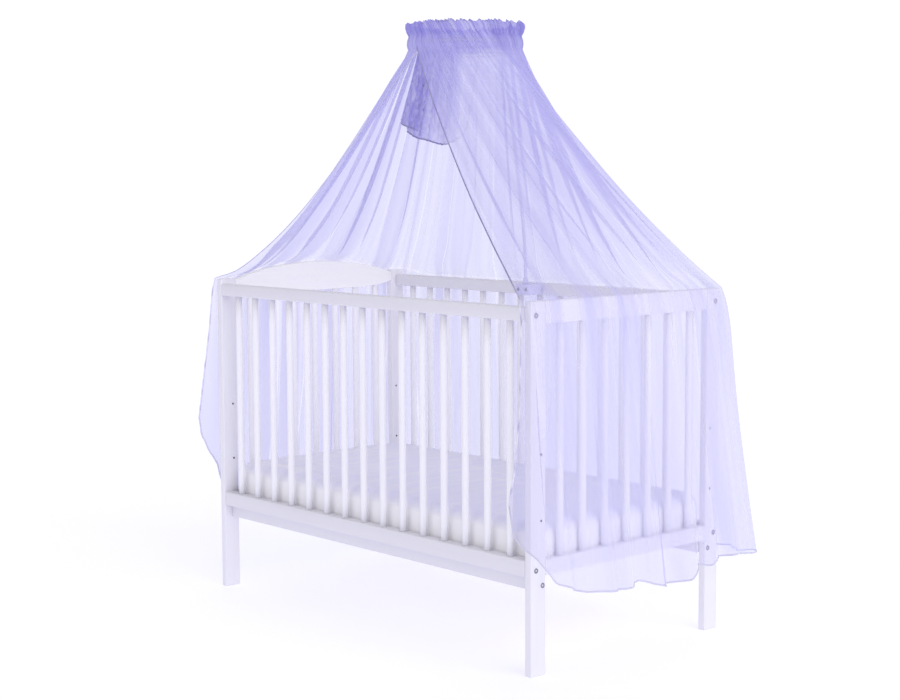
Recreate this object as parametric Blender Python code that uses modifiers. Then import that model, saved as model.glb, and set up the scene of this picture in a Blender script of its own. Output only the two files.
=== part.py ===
"""Mosquito net canopy that hangs from a hoop and falls over three sides of a cot.

Metres, +Z up.  The origin is on the floor, under the middle of everything.
+X runs along the cot's long side, with the headboard at -X, and the open front
of the net faces -Y.  The net is one sheet: its top is turned in over the hoop
and hangs inside as a short fall.
"""

import math

import bmesh
import bpy
import numpy as np
from mathutils import Vector

# ---------------------------------------------------------------- cot, driving sizes
COT_LENGTH = 1.240
COT_WIDTH = 0.660
COT_CENTRE_Y = -0.030
POST_HEIGHT = 0.866
BOARD = 0.021
POST_WIDTH = 0.047
JOINT_GAP = 0.0003
EDGE_ROUND = 0.002

SIDE_RAIL_DEPTH = 0.030
TOP_RAIL_Z = (0.820, 0.852)
LOW_RAIL_Z = (0.233, 0.271)
END_TOP_RAIL_Z = (0.8136, POST_HEIGHT)
BAR_RADIUS = 0.009
BAR_SIDES = 8
BAR_LET_IN = 0.004
SIDE_BARS = 15
SIDE_BAR_PITCH = 0.0767
END_BARS = 7
END_BAR_PITCH = 0.0757

HEADBOARD_BASE_Z = 0.820
HEADBOARD_END_Z = (0.836, 0.861)
HEADBOARD_CROWN_Z = 0.902
HEADBOARD_CROWN_POWER = 2.2
HEADBOARD_BELLY_POWER = 6
HEADBOARD_STEPS = 14

BEAM_Z = (0.198, 0.233)
BEAM_Y = (0.022, 0.052)
BASE_THICKNESS = 0.014
BASE_SLOTS = 11
BASE_SLOT_WIDTH = 0.060
BASE_MARGIN = 0.045
BASE_END_GAP = 0.002

MATTRESS_SIZE = (1.190, 0.592)
MATTRESS_TOP_Z = 0.354
MATTRESS_ROUND = 0.030

# ---------------------------------------------------------------- hoop and its holder
HOOP_CENTRE = (0.000, 0.010)
HOOP_Z = 1.490
HOOP_RADIUS = 0.1385
HOOP_WIRE = 0.0035
POLE_RADIUS = 0.0045
POLE_FOOT_SIZE = (0.050, 0.054, 0.030)
# The pole leans in from the back rail and rises to the back of the hoop: y, z.
POLE_ROUTE = (
    (0.230, 0.8525),
    (0.229, 0.900),
    (0.225, 0.970),
    (0.216, 1.050),
    (0.204, 1.130),
    (0.190, 1.220),
    (0.175, 1.310),
    (0.160, 1.400),
    (0.151, 1.450),
    (0.1485, HOOP_Z - HOOP_WIRE - JOINT_GAP),
)

# ---------------------------------------------------------------- net, driving sizes
CLOTH = 0.002
# Columns of the sheet on each side of the cot, four to a fold.
COLUMNS = {"left": 22, "back": 42, "right": 22, "front": 2}
# Fold depth swings about its mean by two slow waves, given per fold phase.
FOLD_MEAN = 0.74
FOLD_SWING = 0.26
FOLD_SLOW = (0.61, 0.23)
FOLD_SLOW_START = 0.8
SLIT_START_DEG = -101.5
SLIT_END_DEG = -458.5

FALL_TOP_Z = 1.472
FALL_RADIUS = 0.119
FALL_FLARE = 0.17
FALL_FLARE_SWING = 0.12
FALL_FLARE_DEG = -90.0
FALL_SHARES = (0.0, 0.33, 0.67, 1.0)
FALL_PLEAT = {"hem": 0.006, "casing": 0.003}
# Hem of the short fall inside the hoop: angle round the hoop in degrees, z.
FALL_HEM = (
    (-458.5, 1.262), (-445.0, 1.245), (-418.0, 1.225), (-390.0, 1.256),
    (-360.0, 1.270), (-270.0, 1.300), (-180.0, 1.310), (-132.0, 1.300),
    (-101.5, 1.275),
)

# Header section, from inside to outside: radius, z.
HEADER = (
    (0.127, 1.490),
    (0.127, 1.525),
    (0.139, 1.544),
    (0.152, 1.525),
    (0.1475, 1.490),
)
HEADER_PLEAT = 0.0030
SHOULDER = (0.1475, 1.472)

# The cloth bends over the cot's top edge between its crest and its lip.
CREST_LIFT = 0.0045
CREST_OUT = 0.001
EDGE_OUT = 0.0065
EDGE_DROP = 0.0030
CREST_PLEAT = 0.0012
LIP_PLEAT = 0.0015
# Along the back the crest sinks from the posts to the rail between them.
POST_REACH = 0.120
POST_SHOULDER = 0.030
# How far the left front edge lies in front of the cot, and where the right one ends.
CREST_START = 0.002
LIP_START = 0.004
HEM_START = 0.010
WRAP_OUT = 0.012
WRAP_END_X = 0.597
LIP_STEP = {"out": 0.001, "along": 0.002}
HEM_WRAP_END_X = 0.554
HEM_OUT = {"left": 0.092, "back": 0.096, "right": 0.087, "front": 0.028}
HEM_CORNER = 0.040
# Sag of the slope at the left front edge, the back and the two right corners.
SAG = {"left": 0.070, "back": 0.052, "right": 0.040}
# Just below the lip the cloth swings out quickly, and then evenly to the hem.
QUICK_OUT = 0.13
QUICK_SHARE = 0.05

# Rows of the slope from the hoop to the rail: share of the way, fold depth.
SLOPE_ROWS = (
    (0.10, 0.0050),
    (0.23, 0.0080),
    (0.38, 0.0110),
    (0.54, 0.0125),
    (0.70, 0.0120),
    (0.85, 0.0080),
    (0.95, 0.0035),
)
# Rows of the drop from the rail to the hem: share of the way, fold depth.
DROP_ROWS = (
    (0.07, 0.0035),
    (0.20, 0.0070),
    (0.36, 0.0100),
    (0.52, 0.0130),
    (0.68, 0.0160),
    (0.84, 0.0180),
    (1.00, 0.0200),
)
# Height of the hem along its path: distance from the front edge, z.
HEM_LEFT = (
    (0.00, 0.460), (0.02, 0.410), (0.05, 0.340), (0.08, 0.285),
    (0.12, 0.240), (0.20, 0.208), (0.30, 0.198),
)
HEM_RIGHT = (
    (0.00, 0.420), (0.02, 0.330), (0.05, 0.292), (0.09, 0.272),
    (0.12, 0.250), (0.15, 0.230), (0.19, 0.210), (0.25, 0.193),
    (0.36, 0.172), (0.44, 0.180), (0.53, 0.160), (0.59, 0.156),
    (0.65, 0.184), (0.75, 0.190), (0.89, 0.181),
)
HEM_BACK_Z = 0.190
HEM_BACK_WAVE = 0.006
HEM_BACK_WAVES = 4.5
# Stations over which the hem passes from one end's heights to the back's.
HEM_LEFT_BLEND = (0.8, 1.2)
HEM_RIGHT_BLEND = (1.8, 2.1)
# Sideways path of the right front edge: share of the drop, distance along +X.
RIGHT_SWAY = (
    (0.00, 0.000), (0.13, 0.012), (0.23, 0.013), (0.40, 0.009),
    (0.60, 0.000), (0.72, -0.011), (0.89, -0.029), (1.00, -0.043),
)
SWAY_REACH = 0.14

# ---------------------------------------------------------------- colours
PAINTED_WOOD = ((0.86, 0.86, 0.88), 0.45, 0.0)
SLAT_WOOD = ((0.74, 0.62, 0.46), 0.60, 0.0)
SHEET_COTTON = ((0.84, 0.84, 0.90), 0.90, 0.0)
PAINTED_STEEL = ((0.88, 0.88, 0.90), 0.35, 0.0)
LILAC_NET = ((0.62, 0.58, 0.93), 0.80, 0.0)

COT_LEFT = -COT_LENGTH / 2
COT_RIGHT = COT_LENGTH / 2
COT_FRONT = COT_CENTRE_Y - COT_WIDTH / 2
COT_BACK = COT_CENTRE_Y + COT_WIDTH / 2


# ================================================================ shared helpers
def clear_scene():
    """Remove every object that the file opens with."""
    for item in list(bpy.data.objects):
        bpy.data.objects.remove(item, do_unlink=True)


def new_collection(name, hidden=False):
    """Make a collection in the scene."""
    collection = bpy.data.collections.new(name)
    collection.hide_render = hidden
    bpy.context.scene.collection.children.link(collection)
    return collection


def finish(item, finish_values):
    """Give a piece its own material and put it in the parts' collection."""
    colour, roughness, metallic = finish_values
    material = bpy.data.materials.new(item.name + "_finish")
    material.use_nodes = True
    shader = material.node_tree.nodes["Principled BSDF"]
    shader.inputs["Base Color"].default_value = (*colour, 1.0)
    shader.inputs["Roughness"].default_value = roughness
    shader.inputs["Metallic"].default_value = metallic
    item.data.materials.clear()
    item.data.materials.append(material)
    move_to(item, PARTS)
    return item


def move_to(item, collection):
    """Link an object to one collection only."""
    for owner in list(item.users_collection):
        owner.objects.unlink(item)
    collection.objects.link(item)


def bevel(item, width, segments=1):
    """Round the edges of a board or a pad."""
    modifier = item.modifiers.new("rounded_edges", "BEVEL")
    modifier.width = width
    modifier.segments = segments
    modifier.limit_method = "ANGLE"


def board(name, low, high, look, rounding=EDGE_ROUND):
    """A straight board between two corners, with eased edges."""
    low, high = Vector(low), Vector(high)
    bpy.ops.mesh.primitive_cube_add(size=1.0, location=(low + high) / 2)
    item = bpy.context.object
    item.name = name
    item.scale = high - low
    bpy.ops.object.transform_apply(location=False, rotation=False, scale=True)
    if rounding:
        bevel(item, rounding)
    return finish(item, look)


def bar(name, x, y, low_z, high_z):
    """An upright round bar."""
    bpy.ops.mesh.primitive_cylinder_add(
        vertices=BAR_SIDES,
        radius=BAR_RADIUS,
        depth=high_z - low_z,
        location=(x, y, (low_z + high_z) / 2),
        rotation=(0.0, 0.0, math.pi / BAR_SIDES),
    )
    item = bpy.context.object
    item.name = name
    return finish(item, PAINTED_WOOD)


def mesh_from_curve(item):
    """Turn a curve into a closed mesh object of the same name and place."""
    depsgraph = bpy.context.evaluated_depsgraph_get()
    mesh = bpy.data.meshes.new_from_object(item.evaluated_get(depsgraph))
    shape = bmesh.new()
    shape.from_mesh(mesh)
    bmesh.ops.remove_doubles(shape, verts=shape.verts, dist=0.00002)
    shape.to_mesh(mesh)
    shape.free()
    name, place = item.name, item.matrix_world.copy()
    bpy.data.objects.remove(item, do_unlink=True)
    solid = bpy.data.objects.new(name, mesh)
    solid.matrix_world = place
    bpy.context.scene.collection.objects.link(solid)
    return solid


def flat_board(name, outlines, thickness, rotation, location):
    """A board sawn to flat outlines; the first is its rim, the others are holes."""
    curve = bpy.data.curves.new(name, "CURVE")
    curve.dimensions = "2D"
    curve.fill_mode = "BOTH"
    curve.extrude = thickness / 2
    for outline in outlines:
        spline = curve.splines.new("POLY")
        spline.points.add(len(outline) - 1)
        for point, (a, b) in zip(spline.points, outline):
            point.co = (a, b, 0.0, 1.0)
        spline.use_cyclic_u = True
    item = bpy.data.objects.new(name, curve)
    item.rotation_euler = rotation
    item.location = location
    bpy.context.scene.collection.objects.link(item)
    bpy.context.view_layer.update()
    return mesh_from_curve(item)


# ================================================================ the cot
def make_posts():
    """Four upright boards, one at each corner."""
    for end, x in (("left", COT_LEFT), ("right", COT_RIGHT - BOARD)):
        for side, y in (("front", COT_FRONT), ("back", COT_BACK - POST_WIDTH)):
            low = (x, y, 0.0)
            high = (x + BOARD, y + POST_WIDTH, POST_HEIGHT)
            board(f"post_{end}_{side}", low, high, PAINTED_WOOD)


def make_long_side(side, low_y):
    """Top rail, lower rail and fifteen bars of one long side."""
    high_y = low_y + SIDE_RAIL_DEPTH
    low_x = COT_LEFT + BOARD + JOINT_GAP
    high_x = COT_RIGHT - BOARD - JOINT_GAP
    for level, (low_z, high_z) in (("top", TOP_RAIL_Z), ("low", LOW_RAIL_Z)):
        low, high = (low_x, low_y, low_z), (high_x, high_y, high_z)
        board(f"rail_{side}_{level}", low, high, PAINTED_WOOD)
    middle_y = (low_y + high_y) / 2
    low_z = LOW_RAIL_Z[1] + JOINT_GAP
    high_z = TOP_RAIL_Z[0] - JOINT_GAP
    for number in range(SIDE_BARS):
        x = (number - (SIDE_BARS - 1) / 2) * SIDE_BAR_PITCH
        bar(f"bar_{side}_{number + 1:02d}", x, middle_y, low_z, high_z)


def make_end_grille(end, low_x, high_z):
    """Lower rail of one end with its seven bars glued in, as one piece."""
    low_y = COT_FRONT + POST_WIDTH + JOINT_GAP
    high_y = COT_BACK - POST_WIDTH - JOINT_GAP
    low = (low_x, low_y, LOW_RAIL_Z[0])
    high = (low_x + BOARD, high_y, LOW_RAIL_Z[1])
    rail = board(f"end_{end}_grille", low, high, PAINTED_WOOD, rounding=0.0)
    for number in range(END_BARS):
        y = COT_CENTRE_Y + (number - (END_BARS - 1) / 2) * END_BAR_PITCH
        low_z = LOW_RAIL_Z[1] - BAR_LET_IN
        tool = bar(f"{end}_bar_{number + 1}", low_x + BOARD / 2, y, low_z, high_z)
        tool.hide_render = True
        tool.display_type = "WIRE"
        move_to(tool, CUTTERS)
        union = rail.modifiers.new(f"bar_{number + 1}", "BOOLEAN")
        union.operation = "UNION"
        union.solver = "EXACT"
        union.object = tool


def make_headboard():
    """The head end's top board: a lens with cut ends, crowned in the middle."""
    half = COT_WIDTH / 2 - POST_WIDTH - JOINT_GAP
    end_low, end_high = HEADBOARD_END_Z
    top, bottom = [], []
    for step in range(HEADBOARD_STEPS + 1):
        across = -half + 2 * half * step / HEADBOARD_STEPS
        share = across / half
        crown = (HEADBOARD_CROWN_Z - end_high) * (1 - abs(share) ** HEADBOARD_CROWN_POWER)
        belly = (end_low - HEADBOARD_BASE_Z) * abs(share) ** HEADBOARD_BELLY_POWER
        top.append((across, end_high + crown))
        bottom.append((across, HEADBOARD_BASE_Z + belly))
    item = flat_board(
        "headboard",
        [bottom + top[::-1]],
        BOARD,
        (math.pi / 2, 0.0, math.pi / 2),
        (COT_LEFT + BOARD / 2, COT_CENTRE_Y, 0.0),
    )
    finish(item, PAINTED_WOOD)


def make_foot_rail():
    """The foot end's straight top rail, flush with its posts."""
    low = (COT_RIGHT - BOARD, COT_FRONT + POST_WIDTH + JOINT_GAP, END_TOP_RAIL_Z[0])
    high = (COT_RIGHT, COT_BACK - POST_WIDTH - JOINT_GAP, END_TOP_RAIL_Z[1])
    board("end_right_top_rail", low, high, PAINTED_WOOD)


def make_base():
    """Two beams under the long sides, and the slotted board that they carry."""
    low_x = COT_LEFT + BOARD + JOINT_GAP
    high_x = COT_RIGHT - BOARD - JOINT_GAP
    near, far = BEAM_Y
    spans = {
        "front": (COT_FRONT + near, COT_FRONT + far),
        "back": (COT_BACK - far, COT_BACK - near),
    }
    for side, (low_y, high_y) in spans.items():
        low, high = (low_x, low_y, BEAM_Z[0]), (high_x, high_y, BEAM_Z[1])
        board(f"beam_{side}", low, high, PAINTED_WOOD)
    half_x = high_x - BASE_END_GAP
    half_y = COT_WIDTH / 2 - SIDE_RAIL_DEPTH - JOINT_GAP
    outlines = [rectangle(-half_x, -half_y, half_x, half_y)]
    pitch = 2 * half_x / BASE_SLOTS
    for number in range(BASE_SLOTS):
        middle = -half_x + (number + 0.5) * pitch
        low_x, high_x = middle - BASE_SLOT_WIDTH / 2, middle + BASE_SLOT_WIDTH / 2
        outlines.append(
            rectangle(low_x, -half_y + BASE_MARGIN, high_x, half_y - BASE_MARGIN)
        )
    middle_z = BEAM_Z[1] + JOINT_GAP + BASE_THICKNESS / 2
    item = flat_board(
        "slatted_base", outlines, BASE_THICKNESS, (0, 0, 0), (0, COT_CENTRE_Y, middle_z)
    )
    finish(item, SLAT_WOOD)


def rectangle(low_x, low_y, high_x, high_y):
    """Corners of an upright rectangle, anticlockwise."""
    return [(low_x, low_y), (high_x, low_y), (high_x, high_y), (low_x, high_y)]


def make_mattress():
    """One filled pad with rounded edges and a slightly crowned top."""
    low_z = BEAM_Z[1] + BASE_THICKNESS + 2 * JOINT_GAP
    middle_z = (low_z + MATTRESS_TOP_Z) / 2
    bpy.ops.mesh.primitive_cube_add(size=1.0, location=(0.0, COT_CENTRE_Y, middle_z))
    item = bpy.context.object
    item.name = "mattress"
    item.scale = (*MATTRESS_SIZE, MATTRESS_TOP_Z - low_z)
    bpy.ops.object.transform_apply(location=False, rotation=False, scale=True)
    bevel(item, MATTRESS_ROUND, segments=3)
    finish(item, SHEET_COTTON)


# ================================================================ hoop and its holder
def make_hoop():
    """The wire hoop that the net's casing is threaded on."""
    bpy.ops.mesh.primitive_torus_add(
        major_radius=HOOP_RADIUS,
        minor_radius=HOOP_WIRE,
        major_segments=40,
        minor_segments=6,
        location=(*HOOP_CENTRE, HOOP_Z),
    )
    item = bpy.context.object
    item.name = "hoop"
    item.data.shade_smooth()
    finish(item, PAINTED_STEEL)


def make_holder():
    """A slim pole on a block that is screwed to the inside of the back rail."""
    wide, deep, tall = POLE_FOOT_SIZE
    back = COT_BACK - SIDE_RAIL_DEPTH - JOINT_GAP
    top = POLE_ROUTE[0][1] - JOINT_GAP
    low = (-wide / 2, back - deep, top - tall)
    board("pole_foot", low, (wide / 2, back, top), PAINTED_STEEL)
    curve = bpy.data.curves.new("pole", "CURVE")
    curve.dimensions = "3D"
    curve.bevel_depth = POLE_RADIUS
    curve.bevel_resolution = 2
    curve.use_fill_caps = True
    spline = curve.splines.new("POLY")
    spline.points.add(len(POLE_ROUTE) - 1)
    for point, (y, z) in zip(spline.points, POLE_ROUTE):
        point.co = (0.0, y, z, 1.0)
    item = bpy.data.objects.new("pole", curve)
    bpy.context.scene.collection.objects.link(item)
    finish(item, PAINTED_STEEL)


# ================================================================ the net
def column_stations():
    """Place of each column round the net: 0 to 4, one unit for each side."""
    stations = [0.0]
    for side, count in enumerate(COLUMNS.values()):
        stations += [side + step / count for step in range(1, count + 1)]
    return np.array(stations)


def round_path(left, back, right, front, start_y, end_x, corner):
    """Plan of the net at one height, as a path with rounded corners.

    The path runs from the front of the left end round the back to the front of
    the right end.  Returns its points, and the path length at each side's end.
    """
    turns = (
        ((-left, back), (0.0, -1.0), (1.0, 0.0)),
        ((right, back), (-1.0, 0.0), (0.0, -1.0)),
        ((right, front), (0.0, 1.0), (-1.0, 0.0)),
    )
    points, marks = [(-left, start_y)], [0]
    steps = 8 if corner else 0
    for (x, y), (ax, ay), (bx, by) in turns:
        for step in range(steps + 1):
            angle = (math.pi / 2) * (step / steps if steps else 0.5)
            before, after = 1 - math.sin(angle), 1 - math.cos(angle)
            points.append((
                x + corner * (ax * before + bx * after),
                y + corner * (ay * before + by * after),
            ))
        marks.append(len(points) - 1 - steps // 2)
    points.append((end_x, front))
    marks.append(len(points) - 1)
    points = np.array(points)
    lengths = np.concatenate([[0], np.cumsum(np.hypot(*np.diff(points, axis=0).T))])
    return points, lengths, lengths[marks]


def along(path, stations):
    """Points of a path at the given stations, with the distances along it."""
    points, lengths, marks = path
    distance = np.interp(stations, range(5), marks)
    x = np.interp(distance, lengths, points[:, 0])
    y = np.interp(distance, lengths, points[:, 1])
    return np.stack([x, y], axis=1), distance


def headboard_top(y):
    """Height of the headboard's crown at a place across the cot."""
    half = COT_WIDTH / 2 - POST_WIDTH
    share = np.clip(np.abs(y - COT_CENTRE_Y) / half, 0, 1)
    rise = 1 - share ** HEADBOARD_CROWN_POWER
    crown = HEADBOARD_END_Z[1] + (HEADBOARD_CROWN_Z - HEADBOARD_END_Z[1]) * rise
    return np.maximum(POST_HEIGHT, crown)


def crest_heights(stations, plan):
    """Height at which the cloth passes over the cot's top edge."""
    over_head = headboard_top(plan[:, 1])
    reach = (COT_RIGHT - POST_REACH, COT_RIGHT - POST_SHOULDER)
    dip = np.interp(np.abs(plan[:, 0]), reach, (1, 0))
    over_back = POST_HEIGHT - dip * (POST_HEIGHT - TOP_RAIL_Z[1])
    return np.select([stations < 1, stations <= 2], [over_head, over_back], POST_HEIGHT)


def hem_heights(stations, distance, total):
    """Height of the hem, rounded up at the two front edges."""
    left = np.interp(distance, *zip(*HEM_LEFT))
    right = np.interp(total - distance, *zip(*HEM_RIGHT))
    turns = HEM_BACK_WAVES * np.clip(stations - 1, 0, 1)
    back = HEM_BACK_Z + HEM_BACK_WAVE * np.sin(2 * math.pi * turns)
    blend_left = np.interp(stations, HEM_LEFT_BLEND, (0, 1))
    blend_right = np.interp(stations, HEM_RIGHT_BLEND, (0, 1))
    level = left * (1 - blend_left) + back * blend_left
    return level * (1 - blend_right) + right * blend_right


def fold_wave(stations):
    """Main folds round the net, from -1 to 1, no two of the same depth."""
    sides = np.concatenate([[0], np.cumsum(list(COLUMNS.values()))])
    phase = np.interp(stations, range(5), sides) * math.pi / 2
    slow = np.sin(FOLD_SLOW[0] * phase + FOLD_SLOW_START) * np.cos(FOLD_SLOW[1] * phase)
    return np.sin(phase) * (FOLD_MEAN + FOLD_SWING * slow)


def hoop_angles(stations, distance, total):
    """Angle round the hoop that each column starts from, evenly gathered."""
    start, end = math.radians(SLIT_START_DEG), math.radians(SLIT_END_DEG)
    return start + (end - start) * distance / total


def ring(angles, radius, z):
    """Points round the hoop's axis; radius and z may be arrays."""
    x = HOOP_CENTRE[0] + radius * np.cos(angles)
    y = HOOP_CENTRE[1] + radius * np.sin(angles)
    return np.stack([x, y, np.broadcast_to(z, x.shape)], axis=1)


def fall_rows(angles, wave):
    """The short fall inside the hoop, from its hem up to the casing."""
    hem_z = np.interp(np.degrees(angles), *zip(*FALL_HEM))
    swing = np.cos(angles - math.radians(FALL_FLARE_DEG))
    flare = FALL_FLARE + FALL_FLARE_SWING * swing
    rows = []
    for share in FALL_SHARES:
        z = hem_z + (FALL_TOP_Z - hem_z) * share
        radius = FALL_RADIUS + flare * (FALL_TOP_Z - z)
        depth = FALL_PLEAT["hem"] + (FALL_PLEAT["casing"] - FALL_PLEAT["hem"]) * share
        rows.append(ring(angles, radius + depth * wave, z))
    return rows


def header_rows(angles, wave):
    """Casing and ruffle: up inside the hoop, over the top and down outside."""
    rows = []
    for radius, z in (*HEADER, SHOULDER):
        rows.append(ring(angles, radius + HEADER_PLEAT * wave, z))
    return rows


def outward(rows):
    """Unit normals of a grid of points that face away from its inside."""
    across = np.gradient(rows, axis=1)
    down = np.gradient(rows, axis=0)
    normal = np.cross(down, across)
    return normal / np.linalg.norm(normal, axis=2, keepdims=True)


def drape_rows(stations, angles, wave):
    """The slope from the hoop to the rails and the drop outside them."""
    rail_path = round_path(
        COT_RIGHT + CREST_OUT, COT_BACK + CREST_OUT, COT_RIGHT + CREST_OUT,
        COT_FRONT - WRAP_OUT, COT_FRONT - CREST_START, WRAP_END_X, 0.0,
    )
    edge_path = round_path(
        COT_RIGHT + EDGE_OUT, COT_BACK + EDGE_OUT, COT_RIGHT + EDGE_OUT,
        COT_FRONT - WRAP_OUT - LIP_STEP["out"], COT_FRONT - LIP_START,
        WRAP_END_X + LIP_STEP["along"], 0.0,
    )
    hem_path = round_path(
        COT_RIGHT + HEM_OUT["left"], COT_BACK + HEM_OUT["back"],
        COT_RIGHT + HEM_OUT["right"], COT_FRONT - HEM_OUT["front"],
        COT_FRONT - HEM_START, HEM_WRAP_END_X, HEM_CORNER,
    )
    plan, _ = along(rail_path, stations)
    edge, _ = along(edge_path, stations)
    hem, distance = along(hem_path, stations)
    total = distance[-1]
    tops = crest_heights(stations, plan)
    hem_z = hem_heights(stations, distance, total)
    start = ring(angles, SHOULDER[0], SHOULDER[1])
    crest = np.column_stack([plan, tops + CREST_LIFT])
    lip = np.column_stack([edge, tops - EDGE_DROP])
    sag = np.interp(stations, (0, 1, 2, 4), (*SAG.values(), SAG["right"]))

    rows, depths, lifts = [start], [HEADER_PLEAT], [0.0]
    for step, depth in SLOPE_ROWS:
        point = start + (crest - start) * step
        point[:, 2] -= 4 * sag * step * (1 - step)
        rows.append(point)
        depths.append(depth)
        lifts.append(0.0)
    rows += [crest, lip]
    depths += [CREST_PLEAT, LIP_PLEAT]
    lifts += [1.0, 1.0]
    sway = np.clip(1 - (total - distance) / SWAY_REACH, 0, 1) ** 2
    for step, depth in DROP_ROWS:
        spread = QUICK_OUT * (1 - math.exp(-step / QUICK_SHARE)) + (1 - QUICK_OUT) * step
        flat = edge + (hem - edge) * spread
        wanted = WRAP_END_X + np.interp(step, *zip(*RIGHT_SWAY))
        flat[:, 0] += sway * (wanted - flat[-1, 0])
        z = lip[:, 2] + (hem_z - lip[:, 2]) * step
        rows.append(np.column_stack([flat, z]))
        depths.append(depth)
        lifts.append(1.0)
    rows = np.array(rows)
    normal = outward(rows)
    depths, lifts = np.array(depths), np.array(lifts)
    shift = depths[:, None] * (wave[None, :] + lifts[:, None])
    rows += normal * shift[:, :, None]
    return list(rows[1:])


def make_net():
    """The whole net as one thin sheet, from its inner hem to its outer hem."""
    stations = column_stations()
    paths = round_path(
        COT_RIGHT, COT_BACK, COT_RIGHT, COT_FRONT, COT_FRONT, WRAP_END_X, 0.0
    )
    _, distance = along(paths, stations)
    angles = hoop_angles(stations, distance, distance[-1])
    wave = fold_wave(stations)
    rows = fall_rows(angles, wave) + header_rows(angles, wave)
    rows += drape_rows(stations, angles, wave)
    grid = np.array(rows)
    tall, wide = grid.shape[:2]
    index = np.arange(tall * wide).reshape(tall, wide)
    faces = np.stack(
        [index[:-1, :-1], index[:-1, 1:], index[1:, 1:], index[1:, :-1]], axis=-1
    ).reshape(-1, 4)
    mesh = bpy.data.meshes.new("net")
    mesh.from_pydata(grid.reshape(-1, 3).tolist(), [], faces.tolist())
    mesh.shade_smooth()
    item = bpy.data.objects.new("net", mesh)
    bpy.context.scene.collection.objects.link(item)
    solid = item.modifiers.new("cloth", "SOLIDIFY")
    solid.thickness = CLOTH
    solid.offset = 0.0
    finish(item, LILAC_NET)


# ================================================================ everything
clear_scene()
PARTS = new_collection("mosquito_net_canopy_over_cot")
CUTTERS = new_collection("glued_in_bars", hidden=True)

make_posts()
make_long_side("front", COT_FRONT)
make_long_side("back", COT_BACK - SIDE_RAIL_DEPTH)
make_end_grille("left", COT_LEFT, HEADBOARD_BASE_Z - JOINT_GAP)
make_end_grille("right", COT_RIGHT - BOARD, END_TOP_RAIL_Z[0] - JOINT_GAP)
make_headboard()
make_foot_rail()
make_base()
make_mattress()
make_hoop()
make_holder()
make_net()
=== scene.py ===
"""Looks of a sheer lilac net canopy that falls over a plain white slatted cot.

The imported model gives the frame: the cot's boards, bars, base and mattress, the
wire hoop, its pole and the net, all in metres with +Z up.  Here each of them gets
its finished surface.  The net is one sheet of voile, worked out as a function of
two parameters: the share of the way round the cot, and the way down the cloth.
"""

import logging
import math
from dataclasses import dataclass
from enum import Enum

import bpy
import numpy as np
from mathutils import Matrix, Vector

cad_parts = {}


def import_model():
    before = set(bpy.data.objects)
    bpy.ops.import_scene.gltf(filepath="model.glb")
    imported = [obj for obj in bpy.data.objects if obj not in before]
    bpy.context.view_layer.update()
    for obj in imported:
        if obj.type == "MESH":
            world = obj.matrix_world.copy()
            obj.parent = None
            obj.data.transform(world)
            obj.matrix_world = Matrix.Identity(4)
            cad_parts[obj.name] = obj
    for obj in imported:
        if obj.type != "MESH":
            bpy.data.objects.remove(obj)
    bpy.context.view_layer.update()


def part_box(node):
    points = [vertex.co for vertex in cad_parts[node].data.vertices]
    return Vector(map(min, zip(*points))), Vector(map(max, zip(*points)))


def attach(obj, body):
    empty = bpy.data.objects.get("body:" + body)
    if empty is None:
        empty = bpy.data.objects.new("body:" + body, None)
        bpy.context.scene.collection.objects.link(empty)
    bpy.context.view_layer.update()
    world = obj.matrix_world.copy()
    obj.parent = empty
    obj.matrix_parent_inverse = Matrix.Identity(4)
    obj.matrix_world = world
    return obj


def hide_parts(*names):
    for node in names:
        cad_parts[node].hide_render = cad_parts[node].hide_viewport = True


LOG = logging.getLogger("cot_canopy")
Array = np.ndarray
Point = tuple[float, float, float]
Table = tuple[tuple[float, float], ...]
BODY = "root"


def read(table: Table, place: Array) -> Array:
    """Value of a table of (place, value) pairs at each place, held beyond its ends."""
    return np.interp(place, *zip(*table))


def node_box(node: str) -> tuple[Array, Array]:
    """Lowest and highest corner of a node of the frame."""
    low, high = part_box(node)
    return np.array(low), np.array(high)


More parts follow.
